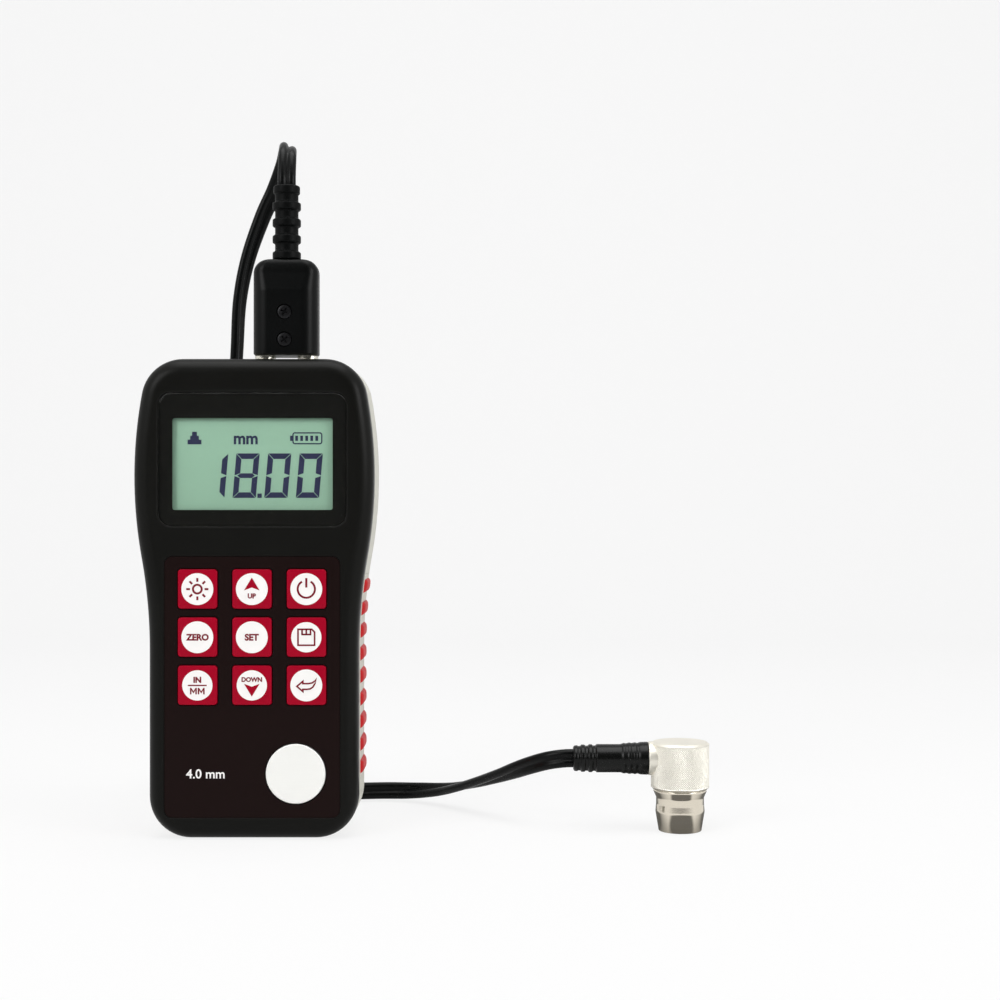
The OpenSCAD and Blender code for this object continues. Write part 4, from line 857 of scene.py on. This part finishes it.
front_part = carved(skin(front_outer), [
    ("DIFFERENCE", [skin(front_inner)]),
    ("UNION", [plate(0, LENS_Z, LENS_W + 2 * LEDGE_LIP, LENS_H + 2 * LEDGE_LIP, LENS_R + LEDGE_LIP,
                     LENS_BACK - LEDGE_T, inner_face)]),
    ("UNION", [well(DISC_X, DISC_Z, DISC_R + CUP_WALL, DISC_BACK - LEDGE_T, inner_face)]),
    ("UNION", [well(x, z, BOSS_R, PARTING, inner_face) for x, z in SCREW_WELLS]),
    ("DIFFERENCE", [pocket(0, LENS_Z, LENS_W + 2 * SEAT_GAP, LENS_H + 2 * SEAT_GAP, LENS_R, LENS_BACK,
                           LENS_LIP, LENS_BOW)]),
    ("DIFFERENCE", [plate(0, VIEW_Z, VIEW_W + 2 * VIEW_EDGE, VIEW_H + 2 * VIEW_EDGE, 1, LENS_BACK - 3, FRONT - 0.6)]),
    ("DIFFERENCE", [pocket(0, FILM_Z, FILM_W + 2 * SEAT_GAP, FILM_H + 2 * SEAT_GAP, FILM_R, FILM_BACK, FILM_LIP)]),
    ("DIFFERENCE", [plate(*middle, hole_w, hole_w, KEY_R + KEY_GAP, FRONT - 4, FRONT + 2)
                    for middle in key_middle.values()]),
    ("DIFFERENCE", [well(DISC_X, DISC_Z, DISC_R + DISC_GAP, DISC_BACK, FRONT + 2, 72)]),
])
cover_black = grained("cover_black", rgb(15, 15, 13), 0.36, scale=2600.0, spread=0.14, strength=0.15, specular=0.1)
even_shade(put("front_cover", [front_part], [cover_black], "gauge", ("front_shell",), sharp=30))

# Display glass. A reflective liquid crystal panel, grey-green, with dark slanted digits, the unit, a
# cell gauge and a coupling mark lying on it as thin printed shapes.
_, LCD_Z, LCD_W, LCD_H, LCD_BACK, LCD_FRONT = front_box("lcd_panel")
LCD_R, INK_T, INK_LIFT = 0.5, 0.04, 0.01
# heights in metres between which painted light makes the display panel lighter towards the top
PAINTED_LIGHT_FALL = (0.100, 0.131)
DIGIT_Z, DIGIT_H, DIGIT_W, DIGIT_SLANT, STROKE, STROKE_GAP = 105.35, 13.75, 7.2, 0.088, 1.72, 0.11
MITRE, MIDDLE_HALF, POINT_X, POINT_W = 0.36, 0.42, 1.3, 1.35
DIGITS = [(-16.1, "bc"), (-6.4, "abcdefg"), (3.4, "abcdef"), (13.15, "abcdef")]
UNIT_X, UNIT_Z, UNIT_W, UNIT_H = -2.3, 123.25, 7.4, 2.7
CELL_X0, CELL_X1, CELL_Z0, CELL_Z1, CELL_LINE, CELL_R = 12.1, 21.4, 121.9, 125.65, 0.4, 0.8
CELL_NUB_W, CELL_NUB_H = 0.7, 1.6
CELL_BARS, CELL_BAR_X, CELL_BAR_W, CELL_BAR_H, CELL_BAR_PITCH = 5, 13.0, 0.85, 1.6, 1.555
COUPLE_X, COUPLE_Z = -18.15, 121.9


def wound(loop, way):
    """A closed outline turned counter-clockwise for way 1, or clockwise for -1, by its signed area."""
    x, z = np.asarray(loop, float).T
    area = np.sum(x * np.roll(z, -1) - np.roll(x, -1) * z)
    return np.column_stack([x, z])[:: 1 if area * way > 0 else -1]


def prism(loops, low, high, paint=0):
    """A flat shape stood up between two levels: its outline and holes filled on both faces, with walls."""
    loops = [wound(loop, -1 if number else 1) for number, loop in enumerate(loops)]
    flat = np.concatenate(loops)
    triangles = np.array(tessellate_polygon([[Vector((*p, 0)) for p in loop] for loop in loops]))
    a, b, c = (flat[triangles[:, i]] for i in range(3))
    turn = (b - a)[:, 0] * (c - a)[:, 1] - (b - a)[:, 1] * (c - a)[:, 0]
    triangles = np.where((turn < 0)[:, None], triangles[:, ::-1], triangles)
    count, walls, start = len(flat), [], 0
    for loop in loops:
        here = np.arange(start, start + len(loop))
        walls.append(np.stack([here, np.roll(here, -1), np.roll(here, -1) + count, here + count], axis=-1))
        start += len(loop)
    points = np.concatenate([upright(flat, low), upright(flat, high)])
    return points, [triangles[:, ::-1], triangles + count, *walls], paint


def digit(x, lit):
    """The lit bars of a seven-bar digit: bars with mitred ends round two stacked squares, leaning to
    the right with height. w, h and m are the width, height and middle, t and g the stroke and its
    gap, n the mitre beside the middle bar and k half of that bar."""
    w, h, m, t, g = DIGIT_W, DIGIT_H, DIGIT_H / 2, STROKE, STROKE_GAP
    n, k = MITRE * t + g, MIDDLE_HALF * t
    bars = {
        "a": [(g + t, h - t), (w - g - t, h - t), (w - g, h), (g, h)],
        "b": [(w - t, m + n), (w, m + g), (w, h - g), (w - t, h - t - g)],
        "c": [(w - t, t + g), (w, g), (w, m - g), (w - t, m - n)],
        "d": [(g, 0), (w - g, 0), (w - g - t, t), (g + t, t)],
        "e": [(0, g), (t, t + g), (t, m - n), (0, m - g)],
        "f": [(0, m + g), (t, m + n), (t, h - t - g), (0, h - g)],
        "g": [(t / 2, m), (t + g, m - k), (w - t - g, m - k), (w - t / 2, m), (w - t - g, m + k), (t + g, m + k)],
    }
    return [np.array(bars[name]) @ [[1, 0], [DIGIT_SLANT, 1]] + [x, DIGIT_Z] for name in lit]


def lettering(words, x, z, height, low, high, width=None, weight=0.0, paint=0):
    """Printed words from the built-in letter outlines, as thin solids centred on a place and scaled to
    a height and, if given, a width in mm."""
    curve = bpy.data.curves.new("words", "FONT")
    curve.body, curve.extrude, curve.offset, curve.resolution_u = words, 0.5, weight, 4
    shape = bpy.data.objects.new("words", curve)
    bpy.context.scene.collection.objects.link(shape)
    points, faces = worked_out(shape)
    bpy.data.objects.remove(shape)
    bpy.data.curves.remove(curve)
    flat = points[:, :2] - (points[:, :2].min(axis=0) + points[:, :2].max(axis=0)) / 2
    size = np.ptp(flat, axis=0)
    flat = flat * [(width or height * size[0] / size[1]) / size[0], height / size[1]] + [x, z]
    level = np.where(points[:, 2] > 0, high, low)
    return np.column_stack([flat[:, 0], -level, flat[:, 1]]), faces, paint


ink_low, ink_high = LCD_FRONT + INK_LIFT, LCD_FRONT + INK_LIFT + INK_T
lit_bars = [shape for x, lit in DIGITS for shape in digit(x, lit)]
lit_bars.append(rectangle(POINT_X, DIGIT_Z, POINT_X + POINT_W, DIGIT_Z + POINT_W))
cell_middle = np.array([CELL_X0 + CELL_X1, CELL_Z0 + CELL_Z1]) / 2
cell_z = cell_middle[1]
cell_bars = [rectangle(x, cell_z - CELL_BAR_H / 2, x + CELL_BAR_W, cell_z + CELL_BAR_H / 2)
             for x in CELL_BAR_X + CELL_BAR_PITCH * np.arange(CELL_BARS)]
cell_nub = rectangle(CELL_X0 - CELL_NUB_W, cell_z - CELL_NUB_H / 2, CELL_X0, cell_z + CELL_NUB_H / 2)
cell_case = [round_rect(CELL_X1 - CELL_X0 - 2 * g, CELL_Z1 - CELL_Z0 - 2 * g, CELL_R - g, 4) + cell_middle
             for g in (0, CELL_LINE)]
coupling_mark = np.array([[-2.15, 0], [2.15, 0], [2.15, 1.45], [1.35, 1.45], [1.35, 2.65], [0.75, 2.65], [0.75, 3.9],
                          [-0.75, 3.9], [-0.75, 2.65], [-1.35, 2.65], [-1.35, 1.45], [-2.15, 1.45]])
coupling_mark = coupling_mark + [COUPLE_X, COUPLE_Z]
lcd_parts = [plate(0, LCD_Z, LCD_W, LCD_H, LCD_R, LCD_BACK, LCD_FRONT)]
lcd_parts += [prism([bar], ink_low, ink_high, 1) for bar in [*lit_bars, *cell_bars, cell_nub, coupling_mark]]
lcd_parts += [prism(cell_case, ink_low, ink_high, 1),
              lettering("mm", UNIT_X, UNIT_Z, UNIT_H, ink_low, ink_high, width=UNIT_W, weight=0.03, paint=1)]


def painted_light_panel(name):
    """Grey-green panel with painted light: the colour falls from lighter at the top to darker at the bottom,
    between the two given heights in metres, with the fine mottle of the reflector."""
    material, tree, shader = fresh(name)
    at = add(tree, "TexCoord").outputs["Object"]
    share = ranged(tree, add(tree, "SeparateXYZ", {0: at}).outputs["Z"], 0.0, 1.0, *PAINTED_LIGHT_FALL)
    # painted light: the panel's colour is lighter towards the top
    fall = add(tree, "Mix", {0: share, 6: rgb(138, 171, 150), 7: rgb(147, 182, 160)}, data_type="RGBA").outputs[2]
    mottle = ranged(tree, noise(tree, at, 900.0, 3.0), 0.96, 1.04)
    feed(tree, shader, {"Base Color": scaled(tree, fall, mottle), "Roughness": 0.45, "Specular IOR Level": 0.05})
    return material


lcd_ink = grained("lcd_ink", rgb(46, 48, 74), 0.5, scale=900.0, spread=0.05, lift=0.005, specular=0.05)
put("lcd_glass", lcd_parts, [painted_light_panel("lcd_green"), lcd_ink], "gauge", ("lcd_panel",))

# Display window. A clear acrylic plate let into the cover, with a black border printed on its back
# that leaves the display clear.
PRINT_T, LENS_EDGE = 0.06, 0.25


def clear_plate(name):
    """Clear acrylic: smooth glass that lets lamp light straight through to what lies behind it, with
    faint wiping marks in its gloss."""
    material, tree, shader = fresh(name)
    at = add(tree, "TexCoord").outputs["Object"]
    wiped = add(tree, "Mapping", {0: at, "Scale": (60.0, 60.0, 900.0)}).outputs[0]
    feed(tree, shader, {"Roughness": ranged(tree, noise(tree, wiped, 1.0, 4.0), 0.0, 0.03),
                        "Base Color": (0.97, 0.98, 0.97, 1), "Transmission Weight": 1.0, "IOR": 1.49})
    shadow = add(tree, "LightPath").outputs["Is Shadow Ray"]
    through = add(tree, "BsdfTransparent").outputs[0]
    mixed = add(tree, "MixShader", {0: shadow, 1: shader.outputs[0], 2: through}).outputs[0]
    feed(tree, tree.nodes["Material Output"], {"Surface": mixed})
    return material


lens_layers = [(0, LENS_BACK + PRINT_T), (0, LENS_FRONT - LENS_EDGE), (LENS_EDGE, LENS_FRONT)]
lens_part = layered(0, LENS_Z, LENS_W, LENS_H, LENS_R, lens_layers)
put("window_plate", [lens_part], [clear_plate("lens_clear")], "gauge", ("window_lens",))
border_black = grained("border_black", rgb(18, 18, 16), 0.4, scale=1800.0, spread=0.1, lift=0.004, strength=0.1,
                       specular=0.0)
border = prism([round_rect(LENS_W - 0.1, LENS_H - 0.1, LENS_R) + [0, LENS_Z],
                round_rect(VIEW_W, VIEW_H, 0.7) + [0, VIEW_Z]], LENS_BACK, LENS_BACK + PRINT_T - 0.02)
put("window_border", [border], [border_black], "gauge")

# Keypad film. A thin printed polyester film, brown-black, laid in the cover's pocket, die-cut round
# the keys and the disc. The disc's thickness is printed beside it in white.
LABEL_X, LABEL_Z, LABEL_H = -14.4, 20.4, 2.9
film_holes = [round_rect(hole_w, hole_w, KEY_R + KEY_GAP, 5) + middle for middle in key_middle.values()]
film_holes.append(arc(DISC_X, DISC_Z, DISC_R + DISC_GAP, 0, FULL_TURN, 72)[:-1])
film_outline = round_rect(FILM_W, FILM_H, FILM_R) + [0, FILM_Z]
film_parts = [
    prism([film_outline, *film_holes], FILM_BACK, FILM_FRONT),
    lettering("4.0 mm", LABEL_X, LABEL_Z, LABEL_H, FILM_FRONT, FILM_FRONT + INK_T, weight=0.015, paint=1),
]
film_brown = grained("film_brown", rgb(23, 11, 10), 0.36, scale=3200.0, spread=0.1, lift=0.01, strength=0.15,
                     specular=0.08)
print_white = grained("print_white", rgb(244, 242, 240), 0.4, scale=1500.0, spread=0.03, lift=0.005,
                      specular=0.2)
put("keypad_film", film_parts, [film_brown, print_white], "gauge", ("keypad_overlay",))

# Keys. Nine square buttons moulded in red, each with a flange behind the cover and a stem over its
# snap dome. A white disc with a dark red mark is printed on each cap.
KEY_TOP = -span("key_light")[0][1]
KEY_EDGE, KEY_LIP, FLANGE_T, STEM_R = 0.3, 1.0, 0.8, 2.0
FLANGE_FRONT, STEM_TIP = FRONT - WALL - 0.3, -span("key_light")[1][1]
DISC_PRINT_R = {"save": 4.65, "unit": 4.65, "down": 4.65}
LEGEND_W = 0.62
flange_w, flange_back = KEY_W + 2 * KEY_LIP, FLANGE_FRONT - FLANGE_T
edge_rise = np.linspace(0, QUARTER, 5)
# width, corner radius and level of each ring, from the stem's tip to the top
key_layers = [
    (2 * STEM_R, STEM_R, STEM_TIP), (2 * STEM_R, STEM_R, flange_back),
    (flange_w, KEY_R + KEY_LIP, flange_back), (flange_w, KEY_R + KEY_LIP, FLANGE_FRONT),
    (KEY_W, KEY_R, FLANGE_FRONT),
    *((KEY_W - 2 * KEY_EDGE * (1 - math.cos(a)), KEY_R, KEY_TOP - KEY_EDGE * (1 - math.sin(a))) for a in edge_rise),
]
print_low, print_high = KEY_TOP - 0.01, KEY_TOP + INK_T
mark_low, mark_high = KEY_TOP, KEY_TOP + 2 * INK_T


def ring_bar(radius, width, start, end, steps=32):
    """A bar bent along a circle, between two angles."""
    return np.concatenate([arc(0, 0, radius + width / 2, start, end, steps),
                           arc(0, 0, radius - width / 2, end, start, steps)])


def bar(x0, z0, x1, z1, width):
    """A straight bar between two points."""
    ahead = np.array([x1 - x0, z1 - z0], float)
    side = np.array([-ahead[1], ahead[0]]) / np.linalg.norm(ahead) * width / 2
    a, b = np.array([x0, z0]), np.array([x1, z1])
    return np.array([a - side, b - side, b + side, a + side])


def shrunk(loop, inset):
    """A closed counter-clockwise outline moved inwards, its corners kept as mitres."""
    ahead = np.roll(loop, -1, axis=0) - loop
    ahead = ahead / np.linalg.norm(ahead, axis=1, keepdims=True)
    inward = np.column_stack([-ahead[:, 1], ahead[:, 0]])
    before = np.roll(inward, 1, axis=0)
    return loop + inset * (inward + before) / (1 + np.sum(inward * before, axis=1, keepdims=True))


sun_core = [arc(0, 0, radius, 0, FULL_TURN, 32)[:-1] for radius in (1.65, 1.65 - LEGEND_W)]
sun_rays = [[bar(2.25 * math.cos(a), 2.25 * math.sin(a), 3.4 * math.cos(a), 3.4 * math.sin(a), LEGEND_W)]
            for a in np.arange(8) * FULL_TURN / 8]
arrow_head = np.array([[0, 2.25], [-2.4, -1.7], [0, -0.8], [2.4, -1.7]])
power_ring = ring_bar(2.65, LEGEND_W, math.radians(120), math.radians(420))
save_case = np.array([[-2.8, -2.7], [2.8, -2.7], [2.8, 1.7], [1.8, 2.7], [-2.8, 2.7]])
save_slots = [[bar(x, 0.75, x, 2.4, 0.5)] for x in (-1.3, 0, 1.3)] + [[bar(-1.5, 0.85, 1.5, 0.85, 0.5)]]
return_arrow = np.array([[-3.3, -0.3], [-0.8, -2.4], [-0.8, -1.45], [0.3, -1.45], [1.3, -1.3], [2.2, -0.7],
                         [2.9, 0.5], [3.25, 2.5], [2.6, 1.6], [1.7, 1.0], [0.6, 0.8], [-0.8, 0.8], [-0.8, 1.8]])
letter_m = np.array([[-1.05, -1.0], [-0.6, -1.0], [-0.6, 0.25], [0, -0.75], [0.6, 0.25], [0.6, -1.0],
                     [1.05, -1.0], [1.05, 1.0], [0.65, 1.0], [0, -0.05], [-0.65, 1.0], [-1.05, 1.0]])
MARKS = {
    "light": [sun_core, *sun_rays],
    "up": [[arrow_head + [0, 1.3]]],
    "power": [[power_ring], [bar(0, 0.5, 0, 3.4, LEGEND_W)]],
    "save": [[save_case, shrunk(save_case, 0.5)], *save_slots],
    "unit": [[bar(-2.9, 0, 2.9, 0, 0.4)], *([letter_m + [across, -1.75]] for across in (-1.2, 1.2))],
    "down": [[arrow_head * [1, -1] - [0, 1.2]]],
    "enter": [[return_arrow, shrunk(return_arrow, 0.5)]],
}
WORDS = {
    "zero": [("ZERO", 0, 2.1, 0.045)], "set": [("SET", 0, 2.15, 0.045)],
    "unit": [("IN", 1.7, 1.9, 0.045)],
    "up": [("UP", -2.1, 1.6, 0.045)], "down": [("DOWN", 1.8, 1.5, 0.045)],
}
ARROWS = ("up", "down")
key_red = grained("key_red", rgb(158, 2, 34), 0.34, scale=2200.0, spread=0.08, lift=0.01, strength=0.15,
                  specular=0.08)
mark_red = grained("mark_red", rgb(120, 6, 32), 0.4, scale=1500.0, spread=0.05, lift=0.005, specular=0.2)
for name, middle in key_middle.items():
    cap = np.stack([upright(round_rect(width, width, min(radius, width / 2 - 1e-3)) + middle, level)
                    for width, radius, level in key_layers])
    white = arc(*middle, DISC_PRINT_R.get(name, 4.9), 0, FULL_TURN, 64)[:-1]
    parts = [capped(cap), prism([white], print_low, print_high, 1)]
    ink = 0 if name in ARROWS else 2
    parts += [prism([loop + middle for loop in loops], mark_low, mark_high, ink) for loops in MARKS.get(name, [])]
    parts += [lettering(words, middle[0], middle[1] + up, height, mark_low, mark_high, weight=weight, paint=2)
              for words, up, height, weight in WORDS.get(name, [])]
    put("cap_" + name, parts, [key_red, print_white, mark_red], "button_" + name, ("key_" + name,), sharp=30)

# Reference disc. Bare steel of known thickness, face-ground white and set flush in its cup, for
# setting the gauge before use.
DISC_EDGE, DISC_T = 0.25, DISC_FRONT - DISC_BACK
disc_profile = eased(
    [[0, 0], [DISC_R, 0], [DISC_R, DISC_T - DISC_EDGE], [DISC_R - DISC_EDGE, DISC_T], [0, DISC_T]], 0.12)


def ground_steel(name, colour):
    """Ground steel: long fine scratches across the face, from noise drawn out along one direction."""
    material, tree, shader = fresh(name)
    at = add(tree, "TexCoord").outputs["Object"]
    drawn = add(tree, "Mapping", {0: at, "Rotation": (0, math.radians(24), 0), "Scale": (120.0, 120.0, 6000.0)})
    lines = noise(tree, drawn.outputs[0], 1.0, 3.0)
    bump = add(tree, "Bump", {"Height": lines, "Strength": 0.2, "Distance": 0.004 * MM})
    feed(tree, shader, {"Base Color": scaled(tree, colour[:3], ranged(tree, lines, 0.95, 1.02)),
                        "Roughness": ranged(tree, lines, 0.3, 0.5), "Normal": bump.outputs["Normal"],
                        "Metallic": 0.25})
    return material


put("setting_disc", [grid(facing(turned(disc_profile, 96), [DISC_X, -DISC_BACK, DISC_Z], "-y"))],
    [ground_steel("disc_steel", rgb(250, 250, 246))], "gauge", ("calibration_disc",), sharp=40)

# Inside and small parts. These keep their CAD solids: the board, its circuits and domes, the cells
# and their contacts, the sockets, the plug's barrels and the probe's sound parts.
SMALL_PARTS = [
    (grained("board_green", rgb(31, 107, 63), 0.35, spread=0.15), "main_board"),
    (grained("chip_black", rgb(43, 43, 46), 0.5), "board_chips"),
    (lathe_metal("can_tin", rgb(185, 188, 190), 0.3), "shield_can", "board_screws"),
    (lathe_metal("dome_steel", rgb(214, 216, 218), 0.25), "dome_switches"),
    (grained("holder_white", rgb(232, 230, 220), 0.5, spread=0.05), "lcd_holder"),
    (grained("light_guide", rgb(240, 243, 238), 0.2, spread=0.03), "backlight_panel"),
    (grained("zebra_pink", rgb(216, 160, 168), 0.55), "zebra_strips"),
    (lathe_metal("socket_nickel", rgb(217, 214, 204), 0.18), "socket_left", "socket_right", "socket_nuts",
     "plug_barrels"),
    (grained("insulator", rgb(242, 240, 234), 0.45, spread=0.04), "socket_inserts", "plug_inserts"),
    (grained("cell_jacket", rgb(60, 111, 156), 0.3, spread=0.1), "battery_left", "battery_right"),
    (lathe_metal("contact_nickel", rgb(200, 200, 198), 0.2), "contact_springs", "contact_plates"),
    (screw_black, "case_screws"),
    (lathe_metal("pin_gold", rgb(202, 166, 74), 0.2), "plug_pins"),
    (grained("delay_amber", rgb(154, 123, 74), 0.3), "delay_line_left", "delay_line_right"),
    (grained("cork_brown", rgb(122, 90, 56), 0.8, scale=1200.0, spread=0.4), "sound_barrier"),
    (grained("piezo_cream", rgb(217, 210, 184), 0.4), "crystals"),
    (grained("backing_grey", rgb(85, 81, 76), 0.7), "damping_blocks"),
]
for finish, *nodes in SMALL_PARTS:
    for name in nodes:
        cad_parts[name].data.materials.clear()
        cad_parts[name].data.materials.append(finish)

# Studio. A pale floor that rolls up into a wall behind the object, a white surround with a dark end
# behind the viewer, and soft lamps: a wide one above, one at the front left and one at the right.
FLOOR_FRONT, FLOOR_BACK, ROLL_R, WALL_TOP, FLOOR_HALF_W = -1500, 700, 400, 2200, 2400
roll = arc(FLOOR_BACK, ROLL_R, ROLL_R, -QUARTER, 0, 24)
backdrop_line = np.concatenate([[[FLOOR_FRONT, 0]], roll, [[FLOOR_BACK + ROLL_R, WALL_TOP]]])
backdrop_rows = np.stack([sideways(backdrop_line, x) for x in (-FLOOR_HALF_W, FLOOR_HALF_W)])
SHOWN_WHITE, MIRRORED_WHITE = 0.8, 0.45
# painted dark patches on the floor, seen only in reflections: their tone and share, then each one's middle, dark radius
# and white radius
PATCH_TONE, PATCH_SHARE = 0.06, 0.85
REFLECTION_PATCHES = [((PROBE_X * MM, 0.035, 0.0), 0.036, 0.05), ((PROBE_X * MM, -0.0175, 0.0), 0.0115, 0.0155)]


def looked_at(tree, shown, mirrored):
    """The first share where the camera looks, straight or through glass, the second where it looks in a
    gloss, and nought for light on its way."""
    path = add(tree, "LightPath").outputs
    clear = calc(tree, "MAXIMUM", path["Is Camera Ray"], path["Is Transmission Ray"])
    return calc(tree, "MAXIMUM", calc(tree, "MULTIPLY", clear, shown),
                calc(tree, "MULTIPLY", path["Is Glossy Ray"], mirrored))


def pale_sweep(name):
    """Matt pale paper that takes soft shadow, mixed with plain white where it is looked at, so that it reads as a
    white background. Only a gloss sees two painted dark patches on it, one behind the probe and a small one before
    it, which paint dark streaks of reflection into the polished tip: dark up to the first radius, white from the
    second."""
    material, tree, shader = fresh(name)
    feed(tree, shader, {"Base Color": (0.8, 0.8, 0.8, 1), "Roughness": 0.9, "Specular IOR Level": 0.0})
    at = add(tree, "TexCoord").outputs["Object"]
    bare = []
    for middle, dark_r, white_r in REFLECTION_PATCHES:
        away = add(tree, "VectorMath", {0: at, 1: middle}, operation="DISTANCE").outputs["Value"]
        bare.append(ranged(tree, away, 0.0, 1.0, dark_r, white_r))
    least = calc(tree, "MINIMUM", *bare)
    tone, share = ranged(tree, least, PATCH_TONE, 1.0), ranged(tree, least, PATCH_SHARE, MIRRORED_WHITE)
    gloss = add(tree, "LightPath").outputs["Is Glossy Ray"]
    strength = add(tree, "Mix", {0: gloss, 2: 1.0, 3: tone}, data_type="FLOAT").outputs[0]
    white = add(tree, "Emission", {"Color": (1, 1, 1, 1), "Strength": strength}).outputs[0]
    mixed = add(tree, "MixShader", {0: looked_at(tree, SHOWN_WHITE, share), 1: shader.outputs[0], 2: white}).outputs[0]
    feed(tree, tree.nodes["Material Output"], {"Surface": mixed})
    return material


backdrop = put("backdrop", [grid(backdrop_rows, closed=False)], [pale_sweep("paper_white")], None)
SURROUND, DARK_END = 0.3, 0.06
surround = bpy.data.worlds.new("surround")
bpy.context.scene.world = surround
surround.use_nodes = True
room = surround.node_tree
room.nodes["Background"].inputs["Color"].default_value = (SURROUND, SURROUND, SURROUND, 1)
way = add(room, "SeparateXYZ", {0: add(room, "TexCoord").outputs["Generated"]})
lit_end = add(room, "MapRange", {"Value": way.outputs["Y"], "From Min": -0.85, "From Max": -0.35,
                                 "To Min": DARK_END, "To Max": 1.0}, interpolation_type="SMOOTHSTEP")
plain = add(room, "LightPath").outputs["Is Glossy Ray"]
shown = add(room, "Mix", {0: plain, 2: 1.0, 3: lit_end.outputs[0]}, data_type="FLOAT")
walls = add(room, "Background", {"Color": (1, 1, 1, 1), "Strength": shown.outputs[0]})
seen = add(room, "MixShader", {0: looked_at(room, 1.0, 1.0), 1: room.nodes["Background"].outputs[0],
                               2: walls.outputs[0]})
room.links.new(seen.outputs[0], room.nodes["World Output"].inputs["Surface"])
LAMPS = {
    "lamp_above": ((0.05, -0.15, 1.1), (0.05, 0.0, 0.1), 0.9, 7.6),
    "lamp_front_left": ((-0.75, -0.85, 0.65), (0.0, 0.0, 0.1), 0.6, 6.1),
    "lamp_right": ((0.95, -0.55, 0.45), (0.1, 0.0, 0.08), 0.5, 4.5),
}
for name, (place, aim, size, power) in LAMPS.items():
    light = bpy.data.lights.new(name, "AREA")
    light.shape, light.size, light.energy = "SQUARE", size, power
    lamp = bpy.data.objects.new(name, light)
    lamp.location = place
    lamp.rotation_euler = (Vector(aim) - Vector(place)).to_track_quat("-Z", "Y").to_euler()
    bpy.context.scene.collection.objects.link(lamp)
